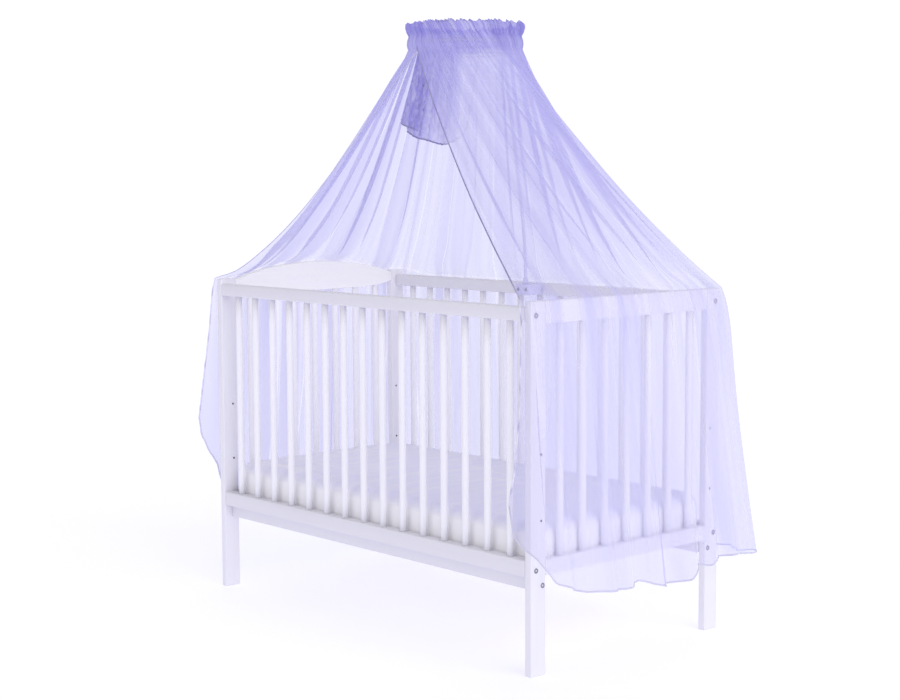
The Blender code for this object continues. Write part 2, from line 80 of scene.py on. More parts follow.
# ================================================================ meshes from arrays
@dataclass
class Surface:
    """Points and faces of one mesh, before it becomes an object.

    Attributes:
        points: N by 3 array of places, in metres.
        faces: list of arrays of point numbers, one array for each face size.
        uv: optional N by 2 array, a place on the cloth for each point.
        values: named arrays of one number a point.
    """

    points: Array
    faces: list[Array]
    uv: Array | None = None
    values: dict[str, Array] | None = None

    @staticmethod
    def grid_faces(rows: int, columns: int, ring: bool = False) -> Array:
        """Quads between neighbouring rows and columns of a grid of points.

        Args:
            rows: number of rows.
            columns: number of points in a row.
            ring: whether each row closes on itself.

        Returns:
            Array of point numbers, four for each quad.
        """
        index = np.arange(rows * columns).reshape(rows, columns)
        if ring:
            index = np.concatenate([index, index[:, :1]], axis=1)
        corners = [index[:-1, :-1], index[:-1, 1:], index[1:, 1:], index[1:, :-1]]
        return np.stack(corners, axis=-1).reshape(-1, 4)

    @classmethod
    def from_grid(cls, grid: Array, ring: bool = False, capped: bool = False) -> "Surface":
        """A grid of points as a surface, closed by flat ends if it is a capped ring."""
        rows, columns = grid.shape[:2]
        faces = [cls.grid_faces(rows, columns, ring)]
        if capped:
            first = np.arange(columns)[::-1]
            last = np.arange(columns) + (rows - 1) * columns
            faces.append(np.stack([first, last]))
        return cls(grid.reshape(-1, 3), faces)

    @classmethod
    def joined(cls, parts: list["Surface"]) -> "Surface":
        """Several surfaces as one, in order."""
        points, faces, base = [], [], 0
        for part in parts:
            points.append(part.points)
            faces += [numbers + base for numbers in part.faces]
            base += len(part.points)
        return cls(np.concatenate(points), faces)

    def mesh(self, name: str) -> bpy.types.Mesh:
        """The surface as a smooth shaded mesh with its cloth map and its values."""
        faces = [face for block in self.faces for face in block.tolist()]
        mesh = bpy.data.meshes.new(name)
        mesh.from_pydata(self.points.tolist(), [], faces)
        mesh.shade_smooth()
        if self.uv is not None:
            layer = mesh.uv_layers.new(name="cloth")
            corner = np.empty(len(mesh.loops), dtype=np.int32)
            mesh.loops.foreach_get("vertex_index", corner)
            layer.data.foreach_set("uv", self.uv[corner].astype(np.float32).ravel())
        for label, numbers in (self.values or {}).items():
            layer = mesh.attributes.new(label, "FLOAT", "POINT")
            layer.data.foreach_set("value", numbers.astype(np.float32).ravel())
        mesh.validate()
        return mesh


def rounded_box(
    low: Array,
    high: Array,
    radius: float,
    steps: int = 2,
    spans: tuple[int, int, int] = (1, 1, 1),
) -> Surface:
    """A box with round edges.

    Formula: a grid is laid on the six faces of the plain box.  Each point keeps its
    nearest place in the box that is smaller by the radius all round, and is moved to
    lie one radius from that place, on the line through both.

    Args:
        low: lowest corner.
        high: highest corner.
        radius: radius of the edges.
        steps: rows of faces over half a rounded edge.
        spans: divisions of the flat part along X, Y and Z.

    Returns:
        The closed surface.
    """
    low, high = np.asarray(low, float), np.asarray(high, float)
    inner_low, inner_high = low + radius, high - radius
    bend = radius * np.tan(np.linspace(0, math.pi / 4, steps + 1))
    lines = []
    for axis in range(3):
        flat = np.linspace(inner_low[axis], inner_high[axis], spans[axis] + 1)
        lines.append(np.concatenate([
            inner_low[axis] - bend[:0:-1], flat, inner_high[axis] + bend[1:]
        ]))
    counts = [len(line) for line in lines]
    number = -np.ones(counts, dtype=int)
    shell = np.ones(counts, dtype=bool)
    shell[1:-1, 1:-1, 1:-1] = False
    number[shell] = np.arange(shell.sum())
    places = np.stack(np.meshgrid(*lines, indexing="ij"), axis=-1)[shell]
    inner = np.clip(places, inner_low, inner_high)
    away = places - inner
    away /= np.linalg.norm(away, axis=1, keepdims=True)
    faces = []
    for axis in range(3):
        for side, turn in ((0, 1), (-1, -1)):
            sheet = np.take(number, side, axis=axis)
            if axis == 1:
                turn = -turn
            corners = [sheet[:-1, :-1], sheet[:-1, 1:], sheet[1:, 1:], sheet[1:, :-1]]
            faces.append(np.stack(corners, axis=-1).reshape(-1, 4)[:, ::turn])
    return Surface(inner + radius * away, faces)


def turned(profile: Array, centre: Array, axis: Array, sides: int = 24) -> Surface:
    """A turned shape.

    Formula: each point of the profile gives a distance from the axis and a place
    along it; it is carried round the axis in equal turns.

    Args:
        profile: M by 2 array of distance from the axis and place along it.
        centre: where the axis starts.
        axis: direction of the axis.
        sides: points in one turn.

    Returns:
        The surface, closed at both ends.
    """
    axis = np.asarray(axis, float) / np.linalg.norm(axis)
    helper = np.array([0.0, 0.0, 1.0]) if abs(axis[2]) < 0.9 else np.array([1.0, 0.0, 0.0])
    across = np.cross(helper, axis)
    across /= np.linalg.norm(across)
    other = np.cross(axis, across)
    angle = np.linspace(0, 2 * math.pi, sides, endpoint=False)
    round_ = np.cos(angle)[:, None] * across + np.sin(angle)[:, None] * other
    distance, along = np.asarray(profile, float).T
    grid = np.asarray(centre) + along[:, None, None] * axis
    grid = grid + distance[:, None, None] * round_[None, :, :]
    return Surface.from_grid(grid, ring=True, capped=True)


def swept(path: Array, across: Array, width: Array | float, height: Array | float,
          sides: int = 10, closed: bool = False) -> Surface:
    """A rod or bead carried along a path.

    Formula: at each point of the path an ellipse stands square to it, its width along
    the given side direction and its height along the third direction.

    Args:
        path: N by 3 array of places.
        across: N by 3 array of side directions, roughly square to the path.
        width: half width of the ellipse.
        height: half height of the ellipse.
        sides: points in the ellipse.
        closed: whether the path closes on itself.

    Returns:
        The closed surface.
    """
    if closed:
        ahead = np.roll(path, -1, axis=0) - np.roll(path, 1, axis=0)
    else:
        ahead = np.gradient(path, axis=0)
    ahead /= np.linalg.norm(ahead, axis=1, keepdims=True)
    side = across - np.sum(across * ahead, axis=1, keepdims=True) * ahead
    side /= np.linalg.norm(side, axis=1, keepdims=True)
    third = np.cross(ahead, side)
    angle = np.linspace(0, 2 * math.pi, sides, endpoint=False)
    width = np.broadcast_to(width, len(path))[:, None, None]
    height = np.broadcast_to(height, len(path))[:, None, None]
    ellipse = np.cos(angle)[None, :, None] * side[:, None, :] * width
    ellipse = ellipse + np.sin(angle)[None, :, None] * third[:, None, :] * height
    grid = path[:, None, :] + ellipse
    if closed:
        surface = Surface.from_grid(grid, ring=True)
        first = np.arange(sides)
        last = first + (len(path) - 1) * sides
        seam = np.stack([last, np.roll(last, -1), np.roll(first, -1), first], axis=-1)
        surface.faces.append(seam)
        return surface
    return Surface.from_grid(grid, ring=True, capped=True)


def smooth_line(points: Array, count: int) -> Array:
    """A smooth line through points: a cubic between each two, equal in direction at both.

    Args:
        points: N by D array of places.
        count: number of places wanted, evenly spread over the spans.

    Returns:
        Array of count places.
    """
    points = np.asarray(points, float)
    slope = np.gradient(points, axis=0)
    where = np.linspace(0, len(points) - 1, count)
    span = np.minimum(where.astype(int), len(points) - 2)
    t = (where - span)[:, None]
    before, after = points[span], points[span + 1]
    return (
        (2 * t ** 3 - 3 * t ** 2 + 1) * before
        + (t ** 3 - 2 * t ** 2 + t) * slope[span]
        + (3 * t ** 2 - 2 * t ** 3) * after
        + (t ** 3 - t ** 2) * slope[span + 1]
    )


# ================================================================ finishes
class Slot(Enum):
    """Material slots of the record."""

    VOILE = "lilac_voile"
    PAINT = "painted_wood"
    PINE = "slat_wood"
    COTTON = "mattress_cotton"
    STEEL = "painted_steel"
    ZINC = "steel_fitting"


class Grain(Enum):
    """Direction in which the wood's grain runs, as a stretch of the pattern."""

    ALONG_X = (3.0, 60.0, 60.0)
    ALONG_Y = (60.0, 3.0, 60.0)
    ALONG_Z = (60.0, 60.0, 3.0)


class ShaderTree:
    """A node tree, with short ways to add and join nodes."""

    def __init__(self, tree: bpy.types.NodeTree) -> None:
        """Keep the tree."""
        self.tree = tree

    def feed(self, target: bpy.types.NodeSocket, value: object) -> None:
        """Join a socket to an input, or set the input to a number or a colour."""
        if isinstance(value, bpy.types.NodeSocket):
            self.tree.links.new(value, target)
        else:
            target.default_value = value

    def add(self, kind: str, inputs: dict[str, object] | None = None,
            **settings: object) -> bpy.types.Node:
        """Add a node, with a socket, number or colour for each named input."""
        node = self.tree.nodes.new(kind)
        for label, value in settings.items():
            setattr(node, label, value)
        for label, value in (inputs or {}).items():
            self.feed(node.inputs[label], value)
        return node

    def attribute(self, name: str) -> bpy.types.NodeSocket:
        """One of the mesh's own values."""
        return self.add("ShaderNodeAttribute", attribute_name=name).outputs["Fac"]

    def math(self, operation: str, *values: object) -> bpy.types.NodeSocket:
        """A Math node of sockets or numbers."""
        node = self.add("ShaderNodeMath", operation=operation)
        for target, value in zip(node.inputs, values):
            self.feed(target, value)
        return node.outputs[0]

    def mix(self, factor: object, first: object, second: object) -> bpy.types.NodeSocket:
        """A colour between two."""
        inputs = {"Factor": factor, "A": first, "B": second}
        return self.add("ShaderNodeMix", data_type="RGBA", inputs=inputs).outputs["Result"]

    def noise(self, vector: bpy.types.NodeSocket, detail: float = 0.0,
              distortion: float = 0.0) -> bpy.types.NodeSocket:
        """Soft noise, about a half in the middle, at given coordinates."""
        inputs = {"Vector": vector, "Scale": 1.0, "Detail": detail, "Distortion": distortion}
        return self.add("ShaderNodeTexNoise", inputs).outputs["Fac"]

    def ramp(self, value: object, start: object, stop: object, low: object = 0.0,
             high: object = 1.0, kind: str = "LINEAR") -> bpy.types.NodeSocket:
        """Carry a value from start and stop to low and high, held at both ends."""
        labels = ("Value", "From Min", "From Max", "To Min", "To Max")
        inputs = dict(zip(labels, (value, start, stop, low, high)))
        return self.add("ShaderNodeMapRange", inputs, interpolation_type=kind).outputs["Result"]


class Effects:
    """Shader node groups that more than one finish uses, each built once."""

    NUMBER, VECTOR, COLOUR = "NodeSocketFloat", "NodeSocketVector", "NodeSocketColor"
    # Middle part of a noise's range that is drawn out to the whole.
    GRAIN_RANGE = (0.30, 0.70)
    MOTTLE_RANGE = (0.35, 0.65)
    BAND_RANGE = (0.42, 0.58)
    BAND_SWING = (-0.45, 0.55)

    def __init__(self) -> None:
        """Build the groups."""
        self.grain = self._grain()
        self.weave = self._weave()
        self.mottle = self._mottle()
        self.line = self._line()
        self.bands = self._bands()

    def _start(self, name: str, inputs: dict[str, str], outputs: dict[str, str]) -> tuple:
        """An empty group, its tree helper, what its input gives and what its output takes."""
        group = bpy.data.node_groups.new(name, "ShaderNodeTree")
        for label, kind in {"Vector": self.VECTOR, **inputs}.items():
            group.interface.new_socket(label, in_out="INPUT", socket_type=kind)
        for label, kind in outputs.items():
            group.interface.new_socket(label, in_out="OUTPUT", socket_type=kind)
        tree = ShaderTree(group)
        return group, tree, tree.add("NodeGroupInput").outputs, tree.add("NodeGroupOutput").inputs

    def _grain(self) -> bpy.types.NodeTree:
        """Long soft streaks of wood grain under paint, or in bare wood."""
        group, tree, given, out = self._start(
            "wood_grain", {"Light": self.COLOUR, "Dark": self.COLOUR},
            {"Color": self.COLOUR, "Height": self.NUMBER},
        )
        streak = tree.noise(given["Vector"], detail=5.0, distortion=0.4)
        share = tree.ramp(streak, *self.GRAIN_RANGE)
        tree.feed(out["Color"], tree.mix(share, given["Dark"], given["Light"]))
        tree.feed(out["Height"], streak)
        return group

    def _weave(self) -> bpy.types.NodeTree:
        """Plain weave: crossing threads, from the cloth map scaled to thread counts."""
        group, tree, given, out = self._start("plain_weave", {}, {"Thread": self.NUMBER})
        split = tree.add("ShaderNodeSeparateXYZ", {"Vector": given["Vector"]}).outputs
        across, along = (tree.math("SINE", split[axis]) for axis in "XY")
        crossed = tree.math("MULTIPLY", across, along)
        tree.feed(out["Thread"], tree.math("MULTIPLY_ADD", crossed, 0.5, 0.5))
        return group

    def _mottle(self) -> bpy.types.NodeTree:
        """Slow uneven patches, for handling marks and thick and thin places."""
        group, tree, given, out = self._start(
            "soft_mottle", {"Low": self.NUMBER, "High": self.NUMBER}, {"Value": self.NUMBER}
        )
        cloud = tree.noise(given["Vector"], detail=3.0)
        tree.feed(out["Value"], tree.ramp(cloud, *self.MOTTLE_RANGE, given["Low"], given["High"]))
        return group

    def _line(self) -> bpy.types.NodeTree:
        """Thin long lines, as a fold's edge draws them: where a stretched cloud is half."""
        group, tree, given, out = self._start(
            "fold_line", {"Width": self.NUMBER, "Low": self.NUMBER}, {"Value": self.NUMBER}
        )
        away = tree.math("ABSOLUTE", tree.math("SUBTRACT", tree.noise(given["Vector"]), 0.5))
        line = tree.ramp(away, 0.0, given["Width"], given["Low"], 1.0, "SMOOTHSTEP")
        tree.feed(out["Value"], line)
        return group

    def _bands(self) -> bpy.types.NodeTree:
        """Broad flat bands with fairly crisp sides, where gathered cloth lies double."""
        group, tree, given, out = self._start(
            "double_bands", {"Weight": self.NUMBER}, {"Value": self.NUMBER}
        )
        cloud = tree.noise(given["Vector"])
        swing = tree.ramp(cloud, *self.BAND_RANGE, *self.BAND_SWING, "SMOOTHSTEP")
        tree.feed(out["Value"], tree.math("MULTIPLY_ADD", swing, given["Weight"], 1.0))
        return group


def place_group(tree: ShaderTree, group: bpy.types.NodeTree, source: bpy.types.NodeSocket,
                scale: Point, **values: object) -> bpy.types.Node:
    """Put a group in a material.

    Args:
        tree: the material's tree.
        group: the effect.
        source: the coordinates that it is drawn on.
        scale: what they are multiplied by along each axis.
        values: socket, number or colour for each of the group's other inputs.

    Returns:
        The group's node.
    """
    mapping = tree.add("ShaderNodeMapping", {"Vector": source, "Scale": scale})
    inputs = {"Vector": mapping.outputs["Vector"], **values}
    return tree.add("ShaderNodeGroup", inputs, node_tree=group)


def start_material(name: str) -> tuple[bpy.types.Material, ShaderTree, bpy.types.Node]:
    """A material with its tree helper and its Principled shader."""
    material = bpy.data.materials.new(name)
    material.use_nodes = True
    tree = ShaderTree(material.node_tree)
    return material, tree, material.node_tree.nodes["Principled BSDF"]


def finish_material(tree: ShaderTree, shader: bpy.types.Node, height: bpy.types.NodeSocket,
                    depth: float, values: dict[str, object]) -> None:
    """Raise a material's surface and set its shader.

    Args:
        tree: the material's tree.
        shader: its Principled shader.
        height: height of the surface, 0 to 1.
        depth: what a height of 1 measures, in metres.
        values: socket, number or colour for each named input of the shader.
    """
    bump = tree.add("ShaderNodeBump", {"Strength": 1.0, "Distance": depth, "Height": height})
    for label, value in {"Normal": bump.outputs["Normal"], **values}.items():
        tree.feed(shader.inputs[label], value)


@dataclass(frozen=True)
class WoodFinish:
    """Wood with its grain, painted or bare.

    Attributes:
        name: name of the material.
        light: colour between the streaks.
        dark: colour of the streaks.
        grain: direction of the grain.
        roughness: roughness of the surface.
        depth: height of the grain, in metres.
        coat: weight of a clear coat.
    """

    name: str
    light: Point
    dark: Point
    grain: Grain
    roughness: float = 0.42
    depth: float = 0.00012
    coat: float = 0.15

    PATCH_RATE = (9.0, 9.0, 9.0)
    SMOOTHER, ROUGHER = 0.05, 0.07
    COAT_ROUGHNESS = 0.25

    def build(self, effects: Effects) -> bpy.types.Material:
        """Make the material: grain on Object coordinates sets colour and height."""
        material, tree, shader = start_material(self.name)
        place = tree.add("ShaderNodeTexCoord").outputs["Object"]
        grain = place_group(
            tree, effects.grain, place, self.grain.value,
            Light=(*self.light, 1.0), Dark=(*self.dark, 1.0),
        )
        patch = place_group(
            tree, effects.mottle, place, self.PATCH_RATE,
            Low=self.roughness - self.SMOOTHER, High=self.roughness + self.ROUGHER,
        )
        finish_material(tree, shader, grain.outputs["Height"], self.depth, {
            "Base Color": grain.outputs["Color"], "Roughness": patch.outputs["Value"],
            "Coat Weight": self.coat, "Coat Roughness": self.COAT_ROUGHNESS,
        })
        return material


@dataclass(frozen=True)
class ClothFinish:
    """Woven cloth on its own cloth map.

    Attributes:
        name: name of the material.
        colour: colour of the threads.
        shade: colour that they turn to where the mesh's own "deep" value is 1; that value carries
            the cloth's deeper tint and also painted shade, painted highlights and painted
            reflected colour.
        threads: threads in a unit of the cloth map, across and along.
        depth: height of the threads, in metres.
        roughness: roughness of the threads.
        sheen: weight of the soft sheen.
        cover: share of light that one layer stops, or 1 for close cloth.
    """

    name: str
    colour: Point
    shade: Point
    threads: tuple[float, float]
    depth: float
    roughness: float = 0.8
    sheen: float = 0.3
    cover: float = 1.0

    # Uneven dye and uneven painted shade and light: rate on the cloth map, and the least and most
    # that it makes of "deep".
    DYE_AND_PAINTED_LIGHT_RATE = (37.0, 5.0, 1.0)
    DYE_AND_PAINTED_LIGHT = (0.82, 1.18)
    SHEEN_ROUGHNESS = 0.5
    SPECULAR = 0.25
    # Streaks drawn down the voile: rate across, rate down, fewest and most layers.
    STREAKS = ((70.0, 1.3, 0.94, 1.07), (170.0, 1.2, 0.985, 1.015))
    # Thin lines at the edges of folds: rate across, layers on the line.
    LINES = ((14.0, 0.50), (9.0, 1.18))
    LINE_WIDTH = 0.010
    # Flat bands of doubled cloth: rate across, share of the mesh's own "bands" value.
    BANDS = ((52.0, 1.0), (115.0, 0.5))
    RATE_DOWN = 0.5
    # The weave's own part in the cover: swing, and the least.
    THREAD_COVER = (0.04, 0.98)
    # Share of the cover that shadows and bounced light pass by, as light spreads in voile.
    LET_BY = 0.80

    def build(self, effects: Effects) -> bpy.types.Material:
        """Make the material: weave on the cloth map; gathers add to the cover."""
        material, tree, shader = start_material(self.name)
        cloth = tree.add("ShaderNodeUVMap", uv_map="cloth").outputs["UV"]
        turns = (2 * math.pi * self.threads[0], 2 * math.pi * self.threads[1], 1.0)
        thread = place_group(tree, effects.weave, cloth, turns).outputs["Thread"]
        low, high = self.DYE_AND_PAINTED_LIGHT
        dye_and_painted_light = place_group(tree, effects.mottle, cloth, self.DYE_AND_PAINTED_LIGHT_RATE, Low=low, High=high)
        # Painted shade and light: the mesh's "deep" value, made uneven, mixes the colour towards
        # the shade colour.
        chosen = tree.math("MULTIPLY", tree.attribute("deep"), dye_and_painted_light.outputs["Value"])
        values = {
            "Base Color": tree.mix(chosen, (*self.colour, 1.0), (*self.shade, 1.0)),
            "Roughness": self.roughness, "Sheen Weight": self.sheen,
            "Sheen Roughness": self.SHEEN_ROUGHNESS, "Specular IOR Level": self.SPECULAR,
        }
        if self.cover < 1.0:
            values["Alpha"] = self.sheer(tree, effects, cloth, thread)
        finish_material(tree, shader, thread, self.depth, values)
        return material

    def sheer(self, tree: ShaderTree, effects: Effects, cloth: bpy.types.NodeSocket,
              thread: bpy.types.NodeSocket) -> bpy.types.NodeSocket:
        """Share of light that the cloth stops; gathers add layers.

        Formula: 1 less the open share of one layer to the power of the layers there.
        """
        weight = tree.attribute("bands")
        marks = [
            place_group(tree, effects.mottle, cloth, (across, down, 1.0), Low=low, High=high)
            for across, down, low, high in self.STREAKS
        ]
        marks += [
            place_group(tree, effects.line, cloth, (across, self.RATE_DOWN, 1.0),
                        Width=self.LINE_WIDTH, Low=low)
            for across, low in self.LINES
        ]
        marks += [
            place_group(tree, effects.bands, cloth, (across, self.RATE_DOWN, 1.0),
                        Weight=tree.math("MULTIPLY", weight, share))
            for across, share in self.BANDS
        ]
        layers = tree.attribute("layers")
        for mark in marks:
            layers = tree.math("MULTIPLY", layers, mark.outputs["Value"])
        cover = tree.math("SUBTRACT", 1.0, tree.math("POWER", 1.0 - self.cover, layers))
        ray = tree.add("ShaderNodeLightPath").outputs
        past = tree.math("MAXIMUM", ray["Is Shadow Ray"], ray["Is Diffuse Ray"])
        cover = tree.math("MULTIPLY", cover, tree.math("MULTIPLY_ADD", past, -self.LET_BY, 1.0))
        return tree.math("MULTIPLY", cover, tree.math("MULTIPLY_ADD", thread, *self.THREAD_COVER))


@dataclass(frozen=True)
class MetalFinish:
    """Coated or plated metal.

    Attributes:
        name: name of the material.
        colour: base colour.
        metallic: 1 for bare metal, 0 for a coat of powder.
        roughness: middle roughness.
        depth: height of the orange peel, in metres.
    """

    name: str
    colour: Point
    metallic: float
    roughness: float
    depth: float = 0.00003

    PATCH_RATE = (60.0, 60.0, 60.0)
    PEEL_RATE = (700.0, 700.0, 700.0)
    SMOOTHER, ROUGHER = 0.06, 0.08

    def build(self, effects: Effects) -> bpy.types.Material:
        """Make the material: mottled roughness and a fine orange peel."""
        material, tree, shader = start_material(self.name)
        place = tree.add("ShaderNodeTexCoord").outputs["Object"]
        patch = place_group(
            tree, effects.mottle, place, self.PATCH_RATE,
            Low=self.roughness - self.SMOOTHER, High=self.roughness + self.ROUGHER,
        )
        peel = place_group(tree, effects.mottle, place, self.PEEL_RATE, Low=0.0, High=1.0)
        finish_material(tree, shader, peel.outputs["Value"], self.depth, {
            "Base Color": (*self.colour, 1.0), "Metallic": self.metallic,
            "Roughness": patch.outputs["Value"],
        })
        return material


class Palette:
    """Every material of the part, built once."""

    WHITE_LIGHT = (0.87, 0.855, 0.92)
    WHITE_DARK = (0.845, 0.83, 0.90)
    # Painted shade: lit and shaded copies of one white paint; the long rails get a little greyer
    # copy than the posts and the ends.
    PAINTED_SHADE_TONE = {Grain.ALONG_X: 0.92, Grain.ALONG_Y: 1.0, Grain.ALONG_Z: 0.985}

    def __init__(self, effects: Effects) -> None:
        """Build the materials."""
        self.paint = {
            grain: WoodFinish(
                f"white_paint_{grain.name.lower()}",
                tuple(self.PAINTED_SHADE_TONE[grain] * value for value in self.WHITE_LIGHT),
                tuple(self.PAINTED_SHADE_TONE[grain] * value for value in self.WHITE_DARK),
                grain,
            ).build(effects)
            for grain in Grain
        }
        # Painted light: the turned bars get a lighter copy of the white paint than the boards,
        # standing in for the stronger light on them.
        self.turned = WoodFinish(
            "white_paint_turned_painted_light", (0.925, 0.915, 0.96), (0.90, 0.89, 0.94), Grain.ALONG_Z
        ).build(effects)
        # Painted light: the headboard gets the lightest copy of the white paint, standing in for
        # the strong light on its inner face.
        self.carved = WoodFinish(
            "white_paint_headboard", (0.95, 0.94, 0.96), (0.93, 0.92, 0.95), Grain.ALONG_Y
        ).build(effects)
        self.pine = WoodFinish(
            "bare_pine", (0.82, 0.75, 0.63), (0.74, 0.65, 0.51), Grain.ALONG_Y,
            roughness=0.6, depth=0.0002, coat=0.0,
        ).build(effects)
        # The voile's shade colour is its deeper tint, and painted shade where its gathers,
        # creases and valleys are darkened.
        self.voile = ClothFinish(
            "lilac_voile", (0.68, 0.66, 0.97), (0.30, 0.27, 0.71), (3600.0, 1600.0),
            depth=0.000012, roughness=0.7, sheen=0.2, cover=0.25,
        ).build(effects)
        # The hem is white satin; its shade colour gives the rolled cloth's deeper lilac and
        # painted shade, and the white also serves for painted glints.
        self.hem = ClothFinish(
            "satin_hem", (0.84, 0.83, 0.97), (0.22, 0.20, 0.45), (700.0, 4.0),
            depth=0.0002, roughness=0.4,
        ).build(effects)
        # The sheet's lilac shade colour is a painted reflection of the net's light on the
        # mattress's top.
        self.cotton = ClothFinish(
            "white_cotton", (0.965, 0.955, 0.97), (0.80, 0.79, 0.99), (900.0, 500.0),
            depth=0.00005, roughness=0.9, sheen=0.2,
        ).build(effects)
        self.steel = MetalFinish("pale_powder_coat", (0.66, 0.64, 0.90), 0.0, 0.35).build(effects)
        self.hoop = MetalFinish("lilac_powder_coat", (0.40, 0.38, 0.62), 0.0, 0.45).build(effects)
        self.zinc = MetalFinish("zinc_plate", (0.34, 0.34, 0.38), 1.0, 0.36).build(effects)
        self.dark = MetalFinish("hole_shadow", (0.10, 0.10, 0.13), 0.0, 0.9).build(effects)



def add_piece(name: str, surface: Surface, material: bpy.types.Material,
              replaces: tuple[str, ...] = ()) -> bpy.types.Object:
    """Put a finished surface in the scene and say what it is.

    Args:
        name: name of the piece.
        surface: its mesh.
        material: its finish.
        replaces: nodes that it stands for.

    Returns:
        The new object.
    """
    piece = bpy.data.objects.new(name, surface.mesh(name))
    bpy.context.scene.collection.objects.link(piece)
    piece.data.materials.append(material)
    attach(piece, BODY)
    if replaces:
        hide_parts(*replaces)
    LOG.info("%s: %d points", name, len(piece.data.vertices))
    return piece


# ================================================================ the cot
@dataclass
class Cot:
    """The cot: posts, rails, bars, headboard, base, bolts and peg holes.

    Attributes:
        palette: the materials.
        edge: radius of the boards' eased edges.
        bar_radius: radius of a turned bar.
        bars: number of bars in a long side.
        low_rail_top: height of the lower rails' upper face.
        end_pitch: distance between the bars of an end.
        end_bars: number of bars in an end.
        slots: number of slots in the base.
        slot_width: width of one slot.
        base_margin: width of the base's long edges.
    """

    palette: Palette
    edge: float = 0.0028
    bar_radius: float = 0.009
    bars: int = 15
    low_rail_top: float = 0.271
    end_pitch: float = 0.0757
    end_bars: int = 7
    slots: int = 11
    slot_width: float = 0.060
    base_margin: float = 0.045

    # A bar's waist near its ends, and how far it is let in to its rails.
    WAIST, WAIST_POWER = 0.05, 12
    LET_IN = 0.0003
    LET_IN_LOW = 0.001
    LET_IN_HEADBOARD = 0.012
    # Bolts and peg holes: distance from the post's front or back face, and height.
    BOLTS = ((0.016, 0.834), (0.016, 0.249), (0.037, 0.212))
    PEGS = ((0.032, 0.363), (0.032, 0.516))
    POST_THICK = 0.021
    # Sections of a bolt's head and of a peg's hole, from the rim in: radius, height.
    BOLT_RIM = (0.0050, 0.0002, 0.0012)
    BOLT_FOOT = (0.0062, -0.0006)
    BOLT_SOCKET = ((0.0031, 0.0014), (0.0029, 0.0012), (0.0029, -0.0004), (0.0006, -0.0006))
    PEG_HOLE = ((0.0028, 0.0004), (0.00224, 0.0001), (0.0003, 0.00005))
    # The base's long edges stand a little inside its slats, at the sides and at the faces.
    INSET, INSET_Z = 0.0005, 0.0008
    SLAT_EDGE, MARGIN_EDGE = 0.0015, 0.0012

    def __post_init__(self) -> None:
        """Take the cot's outer corners from the frame."""
        self.low = node_box("post_left_front")[0]
        self.high = node_box("post_right_back")[1]

    def build(self) -> None:
        """Make every piece of the cot."""
        for end in ("left", "right"):
            for side in ("front", "back"):
                self.board(f"post_{end}_{side}", Grain.ALONG_Z)
            self.build_fittings(end)
        for side in ("front", "back"):
            for node in (f"rail_{side}_top", f"rail_{side}_low", f"beam_{side}"):
                self.board(node, Grain.ALONG_X)
        self.board("end_right_top_rail", Grain.ALONG_Y)
        self.build_bars()
        self.build_ends()
        carved = Headboard().surface()
        add_piece("headboard_carved", carved, self.palette.carved, ("headboard",))
        self.build_base()

    def board(self, node: str, grain: Grain) -> None:
        """One straight board with eased edges, in the place of its node."""
        surface = rounded_box(*node_box(node), self.edge)
        add_piece(f"{node}_board", surface, self.palette.paint[grain], (node,))

    def build_fittings(self, end: str) -> None:
        """Bolt heads on the outer faces of one end's posts, and the pegs' holes as shallow dark
        discs of painted shade.
        """
        face, out = (self.high[0], 1.0) if end == "right" else (self.low[0], -1.0)
        radius, height, rim = self.BOLT_RIM
        turn = np.linspace(0, math.pi / 2, 5)
        head = np.stack([radius + rim * np.cos(turn), height + rim * np.sin(turn)], 1)
        profile = np.concatenate([[self.BOLT_FOOT], head, self.BOLT_SOCKET])
        bolts, holes = [], []
        for y, inner in ((self.low[1], 1), (self.high[1], -1)):
            for inset, z in self.BOLTS:
                bolts.append(turned(profile, (face, y + inner * inset, z), (out, 0, 0), sides=20))
            for inset, z in self.PEGS:
                for x, way in ((face, out), (face - out * self.POST_THICK, -out)):
                    place = (x, y + inner * inset, z)
                    holes.append(turned(self.PEG_HOLE, place, (way, 0, 0), sides=16))
        add_piece(f"bolts_{end}", Surface.joined(bolts), self.palette.zinc)
        # Painted shade: each peg hole is a shallow dark disc on the post's face.
        add_piece(f"peg_hole_shadows_{end}", Surface.joined(holes), self.palette.dark)

    def rod(self, x: float, y: float, low: float, high: float) -> Surface:
        """A turned bar, very slightly waisted where it enters its rails.

        Formula: the radius is less by the waist times a high power of the distance from
        the bar's middle, as a share of half its length.
        """
        share = np.linspace(0, 1, 9)
        waist = self.WAIST * (2 * np.abs(share - 0.5)) ** self.WAIST_POWER
        profile = np.stack([self.bar_radius * (1 - waist), low + (high - low) * share], axis=1)
        return turned(profile, (x, y, 0.0), (0, 0, 1))

    def build_bars(self) -> None:
        """The bars of the long sides, each in the place of its node."""
        for side in ("front", "back"):
            for number in range(1, self.bars + 1):
                node = f"bar_{side}_{number:02d}"
                low, high = node_box(node)
                x, y, _ = (low + high) / 2
                surface = self.rod(x, y, low[2] - self.LET_IN, high[2] + self.LET_IN)
                add_piece(f"{node}_rod", surface, self.palette.turned, (node,))

